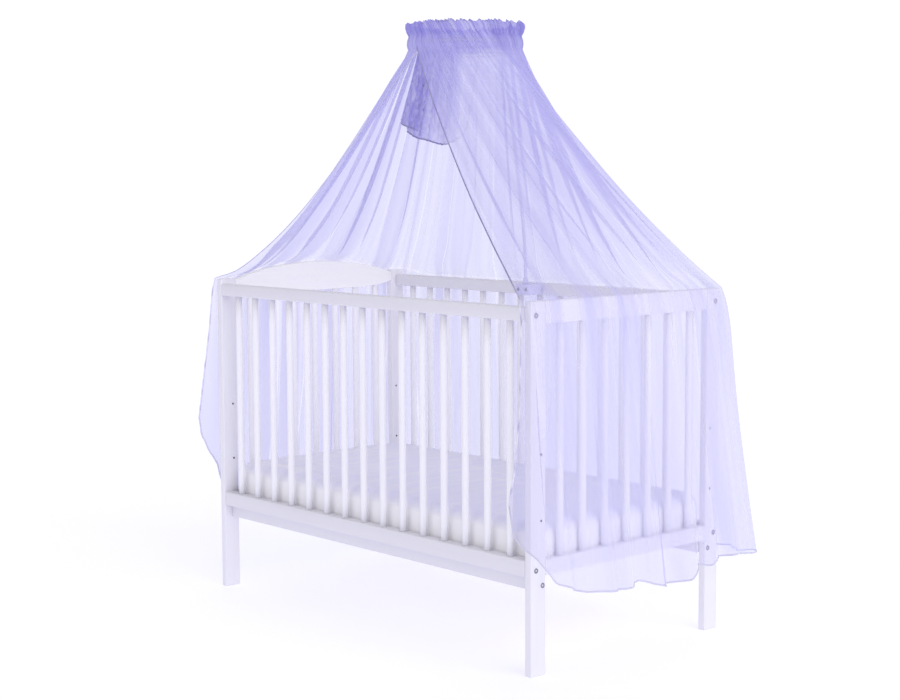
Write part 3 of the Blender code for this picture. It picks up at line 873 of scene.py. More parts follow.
    def build_ends(self) -> None:
        """Lower rail and bars of each end; at the left they reach up behind the headboard."""
        for end, reach in (("left", self.LET_IN_HEADBOARD), ("right", 0.0)):
            node = f"end_{end}_grille"
            low, high = node_box(node)
            rail = rounded_box(low, (high[0], high[1], self.low_rail_top), self.edge)
            add_piece(f"{node}_rail", rail, self.palette.paint[Grain.ALONG_Y], (node,))
            x, y, _ = (low + high) / 2
            start, stop = self.low_rail_top - self.LET_IN_LOW, high[2] + self.LET_IN + reach
            steps = np.arange(self.end_bars) - (self.end_bars - 1) / 2
            rods = [self.rod(x, y + step * self.end_pitch, start, stop) for step in steps]
            bars = Surface.joined(rods)
            add_piece(f"{node}_rods", bars, self.palette.turned, (node,))

    def build_base(self) -> None:
        """Cross slats on two long edges, as the slotted base is seen from below."""
        low, high = node_box("slatted_base")
        pitch = (high[0] - low[0]) / self.slots
        middles = low[0] + pitch * (np.arange(self.slots) + 0.5)
        starts = np.concatenate([[low[0]], middles + self.slot_width / 2])
        ends = np.concatenate([middles - self.slot_width / 2, [high[0]]])
        parts = [
            rounded_box((start, *low[1:]), (stop, *high[1:]), self.SLAT_EDGE)
            for start, stop in zip(starts, ends)
        ]
        inset = np.array([self.INSET, self.INSET, self.INSET_Z])
        inner_low, inner_high = low + inset, high - inset
        for low_y, high_y in ((inner_low[1], low[1] + self.base_margin),
                              (high[1] - self.base_margin, inner_high[1])):
            first = (inner_low[0], low_y, inner_low[2])
            last = (inner_high[0], high_y, inner_high[2])
            parts.append(rounded_box(first, last, self.MARGIN_EDGE))
        slats = Surface.joined(parts)
        add_piece("base_slats", slats, self.palette.pine, ("slatted_base",))


@dataclass
class Headboard:
    """A lens with cut ends, crowned in the middle, with a heart cut in its inner face.

    Attributes:
        base_z: height of the belly's lowest line.
        end_low: height of the lower edge at the ends.
        end_high: height of the upper edge at the ends.
        crown: height of the upper edge in the middle.
        edge: radius of the eased edges.
        groove: depth of the cut line.
        groove_width: half width of the cut line.
        heart: half width of the heart.
        columns: sections from one end to the other.
        rows: points up the inner face.
    """

    base_z: float = 0.820
    end_low: float = 0.836
    end_high: float = 0.861
    crown: float = 0.902
    edge: float = 0.003
    groove: float = 0.0011
    groove_width: float = 0.0016
    heart: float = 0.024
    columns: int = 260
    rows: int = 44

    CROWN_POWER, BELLY_POWER = 2.2, 6
    CUT_LIFT = 0.002
    # One flourish: gap to the heart, reach, height, turns in radians, share that dies away.
    FLOURISH = (0.012, 0.075, 0.010, 2.2 * math.pi, 0.55)

    def surface(self) -> Surface:
        """Loft of rounded sections across the cot.

        Formula: at each place across, the section is a rounded rectangle between the
        belly's and the crown's heights; the inner face sinks by the groove's depth,
        falling off smoothly with the distance from the cut lines.
        """
        low, high = node_box("headboard")
        thick, edge = high[0] - low[0], self.edge
        share = np.linspace(-1, 1, self.columns)
        across = (low[1] + high[1]) / 2 + share * (high[1] - low[1]) / 2
        crown, belly = np.abs(share) ** self.CROWN_POWER, np.abs(share) ** self.BELLY_POWER
        top = self.end_high + (self.crown - self.end_high) * (1 - crown)
        bottom = self.base_z + (self.end_low - self.base_z) * belly
        bend = np.linspace(0, math.pi / 2, 4)
        cos, sin = edge * np.cos(bend), edge * np.sin(bend)
        ring_x = np.concatenate([
            np.full(self.rows, thick), thick - edge + cos[1:], edge - sin[:-1], [0.0],
            edge - cos[1:], thick - edge + sin[:-1],
        ])
        ring_up = np.concatenate([np.linspace(0, 1, self.rows), np.ones(6), np.zeros(7)])
        ring_off = np.concatenate([
            np.linspace(edge, -edge, self.rows), sin[1:] - edge, cos[:-1] - edge, [edge],
            edge - sin[1:], edge - cos[:-1],
        ])
        height = bottom[:, None] + (top - bottom)[:, None] * ring_up + ring_off
        x = low[0] + np.broadcast_to(ring_x, height.shape)
        y = np.broadcast_to(across[:, None], height.shape)
        lines = self.cut_lines((low[1] + high[1]) / 2, (self.base_z + self.crown) / 2)
        face = np.stack([y[:, : self.rows], height[:, : self.rows]], axis=-1)
        near = self.distance(face.reshape(-1, 2), lines).reshape(face.shape[:2])
        x[:, : self.rows] -= self.groove * np.exp(-((near / self.groove_width) ** 2))
        return Surface.from_grid(np.stack([x, y, height], axis=-1), ring=True, capped=True)

    def cut_lines(self, y: float, z: float) -> Array:
        """Closely spaced points of the heart and of one flourish on each side.

        Formula: the heart is x = sin cubed, z = 13 cos t - 5 cos 2t - 2 cos 3t - cos 4t,
        scaled to its half width; a flourish is a wave whose height dies away outwards.
        """
        turn = np.linspace(0, 2 * math.pi, 260)
        tall = 13 * np.cos(turn) - 5 * np.cos(2 * turn) - 2 * np.cos(3 * turn) - np.cos(4 * turn)
        z = z + self.CUT_LIFT
        heart = [y + self.heart * np.sin(turn) ** 3, z + self.heart * tall / 17]
        parts = [np.stack(heart, axis=1)]
        gap, reach, height, turns, dying = self.FLOURISH
        way = np.linspace(0, 1, 120)
        wave = z + height * np.sin(turns * way) * (1 - dying * way)
        for side in (-1, 1):
            parts.append(np.stack([y + side * (self.heart + gap + reach * way), wave], axis=1))
        return np.concatenate(parts)

    @staticmethod
    def distance(places: Array, lines: Array) -> Array:
        """Distance from each place to the nearest of every second point of the lines."""
        gap = places[:, None, :] - lines[None, ::2, :]
        return np.sqrt(np.min(np.sum(gap ** 2, axis=2), axis=1))


# ================================================================ the mattress
@dataclass
class Mattress:
    """Foam pad under a drawn white sheet.

    Attributes:
        palette: the materials.
        sunk: height of the lower round edge that the base presses flat.
        radius: radius of its long edges.
        crown: rise of the top's middle over its edges.
        wrinkle: depth of the sheet's wrinkles.
        swell: how far its sides stand out at mid height.
        fill: how full the pad is; not used.
    """

    palette: Palette
    sunk: float = 0.026
    radius: float = 0.030
    crown: float = 0.004
    wrinkle: float = 0.0055
    swell: float = 0.0040
    fill: float = 0.9

    GAP = 0.001
    SPANS = (150, 76, 26)
    # Wrinkles: rate across, lean, start, weight.
    RIDGES = ((31.0, 2.1, 0.3, 0.5), (47.0, -3.3, 1.9, 0.35), (22.0, 5.2, 4.1, 0.6))
    # Painted reflection of the net's lilac light on the sheet's top: depth under the top where it
    # starts, and over which it grows; its share in the middle, and how much that changes towards
    # +X.
    LILAC_START, LILAC_DEPTH = 0.030, 0.026
    LILAC_MIDDLE, LILAC_LEAN = 0.88, 0.12
    # Painted highlights: on the wrinkles' ridges the lilac is lowered by this factor times their
    # height, so they show lighter.
    LILAC_OFF_RIDGES = 0.8

    def build(self) -> None:
        """Make the pad.

        Formula: a box with round edges; its top rises by a cosine in each direction,
        its sides swell at mid height, and long shallow wrinkles run over the top.  The
        lower edge is pressed flat on the base.
        """
        low, high = node_box("mattress")
        low, high = low + self.GAP, high - (self.GAP, self.GAP, self.crown)
        floor = low[2]
        low[2] -= self.sunk
        surface = rounded_box(low, high, self.radius, steps=5, spans=self.SPANS)
        points = surface.points
        points[:, 2] = np.maximum(points[:, 2], floor)
        middle, half = (low + high) / 2, (high - low) / 2
        share = (points - middle) / half
        rise = np.prod(np.cos(share[:, :2] * math.pi / 2) ** 0.5, axis=1)
        above = np.clip((points[:, 2] - middle[2]) / half[2], 0, 1)
        points[:, 2] += self.crown * np.nan_to_num(rise) * above
        points[:, 2] += self.wrinkles(points) * above ** 4
        swell = self.swell * (1 - np.clip(np.abs(share[:, 2]), 0, 1) ** 2)
        for axis in (0, 1):
            side = np.clip(np.abs(share[:, axis]), 0, 1) ** 20 * np.sign(share[:, axis])
            points[:, axis] += swell * side
        size = high - low
        surface.uv = np.stack([
            (points[:, 0] - low[0]) / size[0],
            (points[:, 1] - low[1] + points[:, 2] - low[2]) / (size[1] + size[2]),
        ], axis=1)
        # Painted reflection and highlights: the top turns towards the lilac shade colour, less on
        # the wrinkles' ridges.
        lilac = np.clip((points[:, 2] - high[2] + self.LILAC_START) / self.LILAC_DEPTH, 0, 1)
        lilac = lilac * (self.LILAC_MIDDLE + self.LILAC_LEAN * share[:, 0])
        ridges = self.wrinkles(points) / self.wrinkle * above ** 4
        surface.values = {"deep": np.clip(lilac - self.LILAC_OFF_RIDGES * ridges, 0, 1)}
        pad = add_piece("mattress_pad", surface, self.palette.cotton, ("mattress",))

    def wrinkles(self, points: Array) -> Array:
        """Height of the wrinkles, in metres.

        Formula: three families of narrow ridges, each the eighth power of a cosine that
        leans to and fro along the bed, times slow waves in which they fade in and out.
        """
        x, y = points[:, 0], points[:, 1]
        total = np.zeros(len(points))
        for rate, lean, start, weight in self.RIDGES:
            ridge = np.cos(rate * (y + lean * 0.02 * np.sin(3.1 * x + start)) * 2 + start)
            patch = np.clip(np.sin(4.7 * x + 2.3 * start) * np.sin(6.1 * y + start), 0, 1)
            total += weight * np.maximum(ridge, 0) ** 8 * patch
        return self.wrinkle * total


# ================================================================ hoop and its holder
@dataclass
class Holder:
    """Wire hoop, its pole and the pole's foot.

    Attributes:
        palette: the materials.
        wire: radius of the hoop's wire.
        pole: radius of the pole.
        foot_edge: radius of the foot's edges.
        screw_reach: distance of a screw from the foot's middle.
    """

    palette: Palette
    wire: float = 0.0035
    pole: float = 0.0045
    foot_edge: float = 0.004
    screw_reach: float = 0.015

    # The pole's route from its foot to the back of the hoop: y, z.
    ROUTE = (
        (0.230, 0.8525), (0.229, 0.900), (0.225, 0.970), (0.216, 1.050), (0.204, 1.130),
        (0.190, 1.220), (0.175, 1.310), (0.160, 1.400), (0.151, 1.450), (0.1485, 1.4862),
    )
    # Sections, outwards from where they stand: radius, height.
    COLLAR = ((0.0047, 0.0), (0.0068, 0.0), (0.0072, 0.0006), (0.0072, 0.0138),
              (0.0066, 0.0146), (0.0047, 0.0146))
    SCREW = ((0.0045, -0.0004), (0.0045, 0.0004), (0.0036, 0.0016), (0.0016, 0.0021),
             (0.0014, 0.0012), (0.0002, 0.0010))

    def build(self) -> None:
        """Make the hoop, the pole with its collar and the foot with its screws."""
        low, high = node_box("hoop")
        radius = (high[0] - low[0]) / 2 - self.wire
        turn = np.linspace(0, 2 * math.pi, 120, endpoint=False)
        out = np.stack([np.cos(turn), np.sin(turn), np.zeros_like(turn)], axis=1)
        ring = swept((low + high) / 2 + radius * out, out, self.wire, self.wire, closed=True)
        add_piece("hoop_wire", ring, self.palette.hoop, ("hoop",))

        route = smooth_line(self.ROUTE, 60)
        path = np.stack([np.zeros(len(route)), route[:, 0], route[:, 1]], axis=1)
        side = np.tile([1.0, 0.0, 0.0], (len(path), 1))
        rod = swept(path, side, self.pole, self.pole, sides=20)
        add_piece("pole_rod", rod, self.palette.steel, ("pole",))
        collar = turned(self.COLLAR, path[0], (0, 0, 1))
        add_piece("pole_collar", collar, self.palette.steel)

        low, high = node_box("pole_foot")
        block = rounded_box(low, high, self.foot_edge, steps=3)
        add_piece("pole_block", block, self.palette.steel, ("pole_foot",))
        screws = [
            turned(self.SCREW, (x, low[1], (low[2] + high[2]) / 2), (0, -1, 0), sides=20)
            for x in (-self.screw_reach, self.screw_reach)
        ]
        add_piece("pole_screws", Surface.joined(screws), self.palette.zinc)


# ================================================================ the net
@dataclass
class Folds:
    """One family of folds round the net.

    Formula: a fold's phase runs evenly round the cloth and wanders a little on the way
    down.  The cloth moves outwards by the sine of the phase, and sideways in step with
    it.  Where the sideways part runs faster than the cloth itself, the fold lies over
    itself in three layers; it never crosses itself.

    Attributes:
        count: number of folds.
        seed: seed of the folds' own sizes.
        depth: half depth in metres, on the way down.
        crowd: sideways speed as a share of the cloth's own, on the way down.
        wander: how far a fold's phase drifts, in turns.
        tight: how much painted shade darkens the folds' valleys where the cloth is gathered.
    """

    count: int
    seed: int
    depth: Table
    crowd: Table
    wander: float
    tight: float

    # Size of a fold and of its lap: the least, and how much chance adds.
    SIZE = (0.35, 0.65)
    LAP = (0.25, 0.75)
    # Waves of the folds' drift: how many; fewest round the cloth, and most as a share of
    # the folds; slowest and fastest on the way down; span of a whole wave, in radians.
    WAVES, ROUND, DOWN, START = 4, (2, 0.6), (0.2, 0.9), 6.28

    def shift(self, share: Array, way: Array) -> tuple[Array, Array, Array]:
        """What the family does to each point.

        Args:
            share: place round the cloth, 0 to 1, for each point.
            way: way down the cloth, 0 to 4, for each point.

        Returns:
            Sideways shift as a share of the way round, half depth and sine of the phase.
        """
        random, knots = np.random.RandomState(self.seed), self.count + 3
        places = np.linspace(0, 1, knots)
        size = np.interp(share, places, self.SIZE[0] + self.SIZE[1] * random.rand(knots))
        lap = random.choice([-1.0, 1.0], knots)
        lap = lap * (self.LAP[0] + self.LAP[1] * random.rand(knots) ** 3)
        lap = np.interp(share, places, lap)
        drift = np.zeros_like(share)
        for _ in range(self.WAVES):
            around = random.uniform(self.ROUND[0], self.ROUND[1] * self.count)
            down = random.uniform(*self.DOWN)
            start, pace = random.uniform(0, self.START, 2)
            across = np.sin(around * share * self.START + start)
            drift = drift + across * np.sin(down * way + pace)
        sine = np.sin(2 * math.pi * (self.count * share + self.wander * drift))
        side = read(self.crowd, way) * lap / (2 * math.pi * self.count)
        return side * sine, read(self.depth, way) * size, sine


@dataclass
class Net:
    """The net: one sheet from the hem of its short inner fall to its outer hem.

    Two parameters place every point.  The way down is 0 at the inner hem, 1 at the
    casing's foot inside, 2 at its foot outside, 3 where the cloth crosses the cot's top
    edge, 4 at the hem.  The share round is 0 at the left front edge and 1 at the right
    one; the back's corners are at 0.25 and 0.73, and the right front post is at 0.99.
    The tables below give a value for places on the way down, or for shares round.

    Attributes:
        palette: the materials.
        columns: points across the cloth.
        flat: width and length that the cloth was cut to.
    """

    palette: Palette
    columns: int = 950
    flat: tuple[float, float] = (3.4, 1.68)

    # Rows of points: start and end on the way down, number of rows.
    ROWS = ((0.0, 1.0, 26), (1.0, 2.0, 18), (2.0, 2.25, 9), (2.25, 2.94, 18), (2.94, 3.03, 6),
            (3.03, 3.16, 5), (3.16, 4.0, 22))
    # Angles round the hoop at which the cloth starts and ends, in degrees.
    SLIT = (-100.0, -460.0)

    # The inner fall: a cone, long at the slit and a narrow turned edge elsewhere.
    FALL_TOP_Z = 1.472
    FALL_RADIUS = 0.121
    FALL_FLARE, FALL_SWING = 0.17, 0.12
    # Height of its hem at angles round the hoop.
    FALL_HEM = (
        (-460.0, 1.262), (-445.0, 1.245), (-418.0, 1.225), (-408.0, 1.240), (-402.0, 1.262),
        (-397.0, 1.320), (-392.0, 1.400), (-386.0, 1.450), (-378.0, 1.464), (-180.0, 1.464),
        (-158.0, 1.430), (-146.0, 1.340), (-130.0, 1.300), (-100.0, 1.262),
    )
    # Its first edge laps over its last: share round, degrees; and metres inwards a degree.
    FALL_LAP = ((0.0, 14.0), (0.05, 0.0))
    FALL_LAP_IN = 0.0005
    # Section of the casing and the ruffle, from inside to outside: radius, z.
    HEADER = (
        (0.1210, 1.472), (0.1330, 1.479), (0.1320, 1.490), (0.1360, 1.501), (0.1385, 1.508),
        (0.1415, 1.517), (0.1450, 1.529), (0.1475, 1.5365), (0.1505, 1.5385), (0.1528, 1.5360),
        (0.1522, 1.527), (0.1480, 1.515), (0.1440, 1.508), (0.1462, 1.499), (0.1475, 1.490),
        (0.1462, 1.480), (0.1440, 1.472),
    )
    # Pleats of the header lean over before they reach the slope: share, degrees at the top.
    LEAN = ((0.0, 0.0), (0.55, 0.0), (0.66, -16.0), (0.84, -20.0), (0.95, -8.0), (1.0, 0.0))
    # The ruffle's top rises and falls a little: how much, and where on the way down.
    RUFFLE_UNEVEN = 0.0011
    RUFFLE_RIM = ((1.30, 0.0), (1.5, 1.0), (1.64, 0.0))

    # Paths round the cot at its top edge, just under that, and at the hem: how far the net
    # stands off its left, back, right and front, how far before the front it starts, where
    # along X it ends, and the radius of its corners.
    RAIL_PATH = ((0.0030, 0.0030, 0.0030, 0.012), 0.002, 0.597, 0.006)
    LIP_PATH = ((0.0072, 0.0072, 0.0072, 0.014), 0.004, 0.599, 0.009)
    HEM_PATH = ((0.088, 0.086, 0.078, 0.028), 0.010, 0.581, 0.040)
    POST_WIDTH = 0.047
    # Where the back rail's net comes up to the posts: distance from the cot's end.
    DIP = (0.12, 0.03)
    CREST_LIFT = 0.0045
    LIP_DROP = 0.0035
    LIP_END = 0.02
    LIP_CONTROL = 0.001
    # Sag of the slopes, and how far it hangs below the middle, at these stations.
    SAG_AT = (0, 1, 2, 4)
    SAG = (0.066, 0.050, 0.030, 0.036)
    SAG_SKEW = (0.45, 0.3, 0.0, 0.0)
    # The drop swings out quickly under the rail: share of its swing, share of its length.
    QUICK_OUT, QUICK_SHARE = 0.13, 0.05

    # Height of the outer hem by the distance from the left and from the right front edge.
    HEM_LEFT = (
        (0.000, 0.474), (0.004, 0.470), (0.010, 0.423), (0.026, 0.377), (0.052, 0.331),
        (0.062, 0.300), (0.075, 0.262), (0.12, 0.235), (0.20, 0.208), (0.30, 0.198),
    )
    HEM_RIGHT = (
        (0.000, 0.400), (0.004, 0.362), (0.010, 0.342), (0.020, 0.324), (0.051, 0.304),
        (0.083, 0.291), (0.105, 0.268), (0.149, 0.230), (0.194, 0.210), (0.257, 0.193),
        (0.307, 0.188), (0.359, 0.186), (0.421, 0.195), (0.475, 0.177), (0.522, 0.164),
        (0.580, 0.173), (0.614, 0.202), (0.625, 0.203), (0.693, 0.188), (0.708, 0.205),
        (0.761, 0.207), (0.844, 0.200),
    )
    # At the back it waves: mean height, half height of the waves, number of waves.
    HEM_BACK = (0.190, 0.006, 4.5)
    # Stations over which it goes from the left to the back, and from the back to the right.
    HEM_TURNS = ((0.8, 1.2), (1.8, 2.1))
    # The right front edge's own course along X, and how far round the cloth follows it.
    RIGHT_SWAY = (
        (0.00, 0.000), (0.10, 0.007), (0.20, 0.005), (0.37, 0.001), (0.56, 0.003),
        (0.67, -0.001), (0.84, -0.004), (0.95, -0.015), (1.00, -0.016),
    )
    SWAY_REACH = 0.14

    FAMILIES = (
        Folds(
            count=13, seed=3, wander=0.10, tight=0.0,
            depth=((0, 0.003), (1, 0.0), (2, 0.0), (2.2, 0.006), (2.6, 0.014), (2.9, 0.008),
                   (2.98, 0.0008), (3.05, 0.0008), (3.4, 0.007), (4, 0.0150)),
            crowd=((0, 0.0), (2.0, 0.0), (2.3, 0.50), (3.0, 0.45), (3.5, 0.25), (4.0, 0.15)),
        ),
        Folds(
            count=31, seed=5, wander=0.20, tight=0.05,
            depth=((0, 0.002), (1, 0.0), (2, 0.0), (2.1, 0.008), (2.4, 0.015), (2.8, 0.015),
                   (2.96, 0.0014), (3.03, 0.0014), (3.10, 0.0060), (3.35, 0.0140), (4, 0.0175)),
            crowd=((0, 0.3), (1, 0.0), (2.0, 0.0), (2.15, 0.40), (2.5, 0.60), (2.9, 0.85),
                   (3.0, 1.25), (3.15, 0.90), (3.5, 0.45), (4.0, 0.20)),
        ),
        Folds(
            count=53, seed=11, wander=0.24, tight=0.34,
            depth=((0, 0.0012), (1, 0.0014), (1.3, 0.0045), (1.5, 0.0040), (1.72, 0.0034),
                   (2, 0.0055), (2.15, 0.0080), (2.5, 0.0080), (2.9, 0.0040), (2.98, 0.0007),
                   (3.05, 0.0010), (3.3, 0.0025), (4, 0.0040)),
            crowd=((0, 0.2), (1, 0.7), (2, 0.9), (2.15, 0.40), (2.6, 0.18), (3.0, 0.15),
                   (3.4, 0.10), (4, 0.05)),
        ),
        Folds(
            count=107, seed=23, wander=0.22, tight=0.24,
            depth=((0, 0.0004), (0.6, 0.0006), (1, 0.0030), (1.3, 0.0030), (1.5, 0.0028),
                   (1.6, 0.0040), (1.72, 0.0034), (1.85, 0.0052), (2, 0.0048), (2.10, 0.0020),
                   (2.3, 0.0006), (2.8, 0.0003), (4, 0.0)),
            crowd=((0, 0.1), (1, 0.8), (2, 0.9), (2.12, 0.20), (2.4, 0.04), (3, 0.0), (4, 0.0)),
        ),
    )
    # Share round over which the folds' sideways shift dies away at the front edges.
    EDGE_FADE = 0.012
    # How far the folds stand off the cot instead of swinging both ways, on the way down.
    LIFT = ((2.2, 0.0), (2.8, 0.2), (3.0, 1.0), (3.3, 0.8), (4.0, 0.3))
    # How strongly the cloth laps over itself, and how much the hem swings, round the cot.
    LAPPED = ((0.0, 0.14), (0.55, 0.2), (0.68, 0.7), (1.0, 0.65))
    BILLOW = ((0.60, 1.0), (0.70, 1.1), (0.90, 1.1), (0.97, 0.9))
    BILLOW_FROM = 3.3
    # The cloth lies still on the cot's corners: on the way down, share stilled, reach round.
    NEAR_RAIL = ((2.6, 0.0), (2.9, 1.0), (3.15, 1.0), (3.5, 0.0))
    CORNER_STILL, CORNER_REACH = 0.75, 0.018
    # The fall's swirling creases: depth, where they are on the way down, and round.
    CRUMPLE = 0.0036
    CRUMPLE_DOWN = ((0.7, 1.0), (1.0, 0.0))
    CRUMPLE_ROUND = ((0.2, 0.25), (0.8, 1.0))
    # Where the fall is bunched up beside the slit, round the hoop; its layers elsewhere
    # and where it is bunched.
    BUNCH = ((0.0, 1.0), (0.08, 0.9), (0.15, 0.0), (0.852, 0.0), (0.882, 1.0), (1.0, 1.0))
    FALL_LAYERS, BUNCH_LAYERS = 0.12, 1.9

    # Fewest and most layers that gathers make of one, on the way down.
    LAYERS_LOW = ((0, 2.0), (2.0, 1.4), (2.3, 1.15), (3.0, 1.0), (3.3, 1.15), (4.0, 1.2))
    LAYERS_HIGH = ((0, 5.0), (1.5, 4.2), (2.0, 2.6), (2.15, 2.4), (2.3, 2.05), (2.9, 1.95),
                   (3.0, 2.4), (3.1, 2.2), (3.3, 1.7), (4.0, 1.6))
    # On the left and at the back the slopes are more even: most layers below the header,
    # and a factor on the fewest layers above the rail, round the cot.
    EVEN_FROM = 2.1
    EVEN_MOST = ((0.6, 2.3), (0.7, 9.0))
    EVEN_LEAST = ((0.6, 1.90), (0.7, 1.0))
    # Factors on the layers round the cot: near the rail on the slopes, and on the drop.
    SPREAD = ((0.0, 1.30), (0.06, 1.25), (0.14, 1.15), (0.20, 1.1), (0.30, 1.0), (0.50, 0.95),
              (0.62, 0.55), (0.70, 0.38), (0.76, 0.85), (0.84, 1.12), (1.0, 1.20))
    DROP = ((0.26, 1.6), (0.62, 1.6), (0.70, 0.9), (0.75, 1.0), (1.0, 0.85))
    # The foot end's drop is paler and closer than the rest: where it is, how much closer.
    FOOT = ((0.69, 0.0), (0.75, 1.0), (0.975, 1.0), (0.99, 0.3))
    FOOT_FROM, FOOT_FADE = 2.95, 0.1
    FOOT_CLOSE = 0.74
    # The hem doubles just past the back corner there: place, reach and layers added round
    # the cot; and where it is on the way down.
    LOOP, LOOP_REACH, LOOP_CLOSE = 0.78, 0.018, 0.6
    LOOP_DOWN = ((3.4, 0.0), (3.8, 1.0))
    # Flat bands where the cloth lies double: how strong on the way down, and round the cot.
    BANDS = ((2.0, 0.1), (2.15, 0.45), (2.9, 0.60), (3.03, 0.85), (3.4, 0.40), (4.0, 0.22))
    BANDS_ROUND = ((0.0, 0.9), (0.22, 0.8), (0.35, 0.4), (0.58, 0.3), (0.70, 1.0), (1.0, 1.0))

    # How deep the voile's colour is everywhere, how much less at the foot end; then painted shade
    # on the way down the header, where the gathers shade themselves, and how much painted shade
    # its valleys add.
    TINT, FOOT_PALE = 0.35, 0.55
    DEEP = ((1.0, 0.5), (1.25, 0.6), (1.5, 1.0), (1.64, 1.0), (1.72, 0.70), (1.84, 0.08),
            (2.0, 0.0), (2.2, 0.10), (2.5, 0.0))
    GATHERED = ((1.0, 0.3), (1.3, 0.9), (1.9, 0.9), (2.06, 0.35), (2.3, 0.0))
    # Painted shade in the fall's creases: middle, swing, least.
    CREASE = (0.85, 0.45, 0.3)

    # The hems' beads: half width, half height, points round.
    BEAD = (0.0020, 0.0010, 8)
    EDGE_FROM = 1.9
    # Share of the dark colour on the outer, left and right hems: the rolled cloth's deeper lilac,
    # with painted shade on the front edges' slopes.
    OUTER_SHADE, LEFT_SHADE, RIGHT_SHADE = 0.30, 0.40, 0.85
    # Painted shade on the fall's hem round the hoop, darkest beside the slit, and on the front
    # edges' hems on the way down.
    INNER_SHADE = ((0.0, 1.0), (0.10, 0.8), (0.14, 0.3), (0.862, 0.2), (0.892, 1.0), (1.0, 1.0))
    EDGE_SHADE = ((2.9, 1.0), (3.05, 0.30), (4.0, 0.20))
    # Painted glints: the hanging part of a front edge's hem is made lighter and darker in turn
    # along its length.
    GLINT = 0.22

    def __post_init__(self) -> None:
        """Take the cot's outline from the frame and lay out the net's three paths."""
        low, high = node_box("post_left_front")[0], node_box("post_right_back")[1]
        self.front = low[1]
        self.right, self.back, self.post = high
        self.sides = (-low[0], self.back, self.right, -self.front)
        self.rail_top = node_box("rail_back_top")[1][2]
        hoop_low, hoop_high = node_box("hoop")
        self.hoop = (hoop_low + hoop_high) / 2
        self.rail_path, self.lip_path, self.hem_path = (
            self.path(*sizes) for sizes in (self.RAIL_PATH, self.LIP_PATH, self.HEM_PATH)
        )

    def path(self, out: tuple[float, ...], before: float, end_x: float,
             corner: float) -> tuple[Array, Array, Array]:
        """Plan of the net at one height, with rounded corners.

        Args:
            out: how far it stands off the cot's left, back, right and front.
            before: how far before the cot's front it starts, on the left.
            end_x: where it ends, at the front.
            corner: radius of its corners.

        Returns:
            Its points, the length up to each, and the length up to each side's end.
        """
        left, back, right, front = (side + reach for side, reach in zip(self.sides, out))
        turns = (((-left, back), (0, -1), (1, 0)), ((right, back), (-1, 0), (0, -1)),
                 ((right, -front), (0, 1), (-1, 0)))
        angle = np.linspace(0, math.pi / 2, 9)
        points, marks = [np.array([[-left, self.front - before]])], [0]
        for place, start, stop in turns:
            ease_in = (1 - np.sin(angle))[:, None] * np.array(start)
            ease_out = (1 - np.cos(angle))[:, None] * np.array(stop)
            points.append(np.array(place) + corner * (ease_in + ease_out))
            marks.append(sum(len(block) for block in points) - 1 - len(angle) // 2)
        points = np.concatenate(points + [np.array([[end_x, -front]])])
        marks.append(len(points) - 1)
        lengths = np.concatenate([[0], np.cumsum(np.hypot(*np.diff(points, axis=0).T))])
        return points, lengths, lengths[marks]

    def stations(self, share: Array) -> Array:
        """Station, 0 to 4 with one unit a side, of each share of the way round."""
        marks = self.rail_path[2]
        return np.interp(share, marks / marks[-1], range(5))

    @staticmethod
    def along(path: tuple[Array, Array, Array], station: Array) -> tuple[Array, Array, Array]:
        """Plan place of each station on a path, and its distance along the path."""
        points, lengths, marks = path
        distance = np.interp(station, range(5), marks)
        x = np.interp(distance, lengths, points[:, 0])
        y = np.interp(distance, lengths, points[:, 1])
        return x, y, distance

    def crest(self, station: Array, x: Array, y: Array) -> Array:
        """Height of the cot's top edge under each place of the net.

        Formula: over the headboard its crown; over the back the rail, rising to the
        posts at both ends; over the foot end and the front post the posts' height.
        """
        centre, half = (self.front + self.back) / 2, (self.back - self.front) / 2
        share = np.clip(np.abs(y - centre) / (half - self.POST_WIDTH), 0, 1)
        rise = (Headboard.crown - Headboard.end_high) * (1 - share ** Headboard.CROWN_POWER)
        head = np.maximum(self.post, Headboard.end_high + rise)
        start, stop = (self.right - reach for reach in self.DIP)
        dip = np.interp(np.abs(x), (start, stop), (1, 0))
        back = self.post - dip * (self.post - self.rail_top)
        return np.where(station < 1, head, np.where(station <= 2, back, self.post))

    def hem_height(self, station: Array, distance: Array) -> Array:
        """Height of the outer hem, rounded up at both front edges."""
        left = read(self.HEM_LEFT, distance)
        right = read(self.HEM_RIGHT, self.hem_path[2][-1] - distance)
        mean, wave, waves = self.HEM_BACK
        back = mean + wave * np.sin(2 * math.pi * waves * np.clip(station - 1, 0, 1))
        start, stop = (np.interp(station, turn, (0, 1)) for turn in self.HEM_TURNS)
        level = left * (1 - start) + back * start
        return level * (1 - stop) + right * stop

    def ring(self, angle: Array, radius: Array, z: Array) -> Array:
        """Places round the hoop's axis."""
        x = self.hoop[0] + radius * np.cos(angle)
        y = self.hoop[1] + radius * np.sin(angle)
        return np.stack([x, y, np.broadcast_to(z, x.shape)], axis=-1)

    def smooth(self, share: Array, way: Array) -> Array:
        """The net without its folds: fall, header, slope and drop, each on its own way."""
        angle = np.radians(self.SLIT[0] + (self.SLIT[1] - self.SLIT[0]) * share)
        station = self.stations(share)
        x, y, _ = self.along(self.rail_path, station)
        top = self.crest(station, x, y)
        crest = np.stack([x, y, top + self.CREST_LIFT], axis=-1)
        parts = (
            self.fall(share, way, angle), self.header(share, way, angle),
            self.slope(way, angle, station, crest), self.drop(way, station, top, crest),
        )
        return np.choose(np.clip(way.astype(int), 0, 3)[..., None], parts)

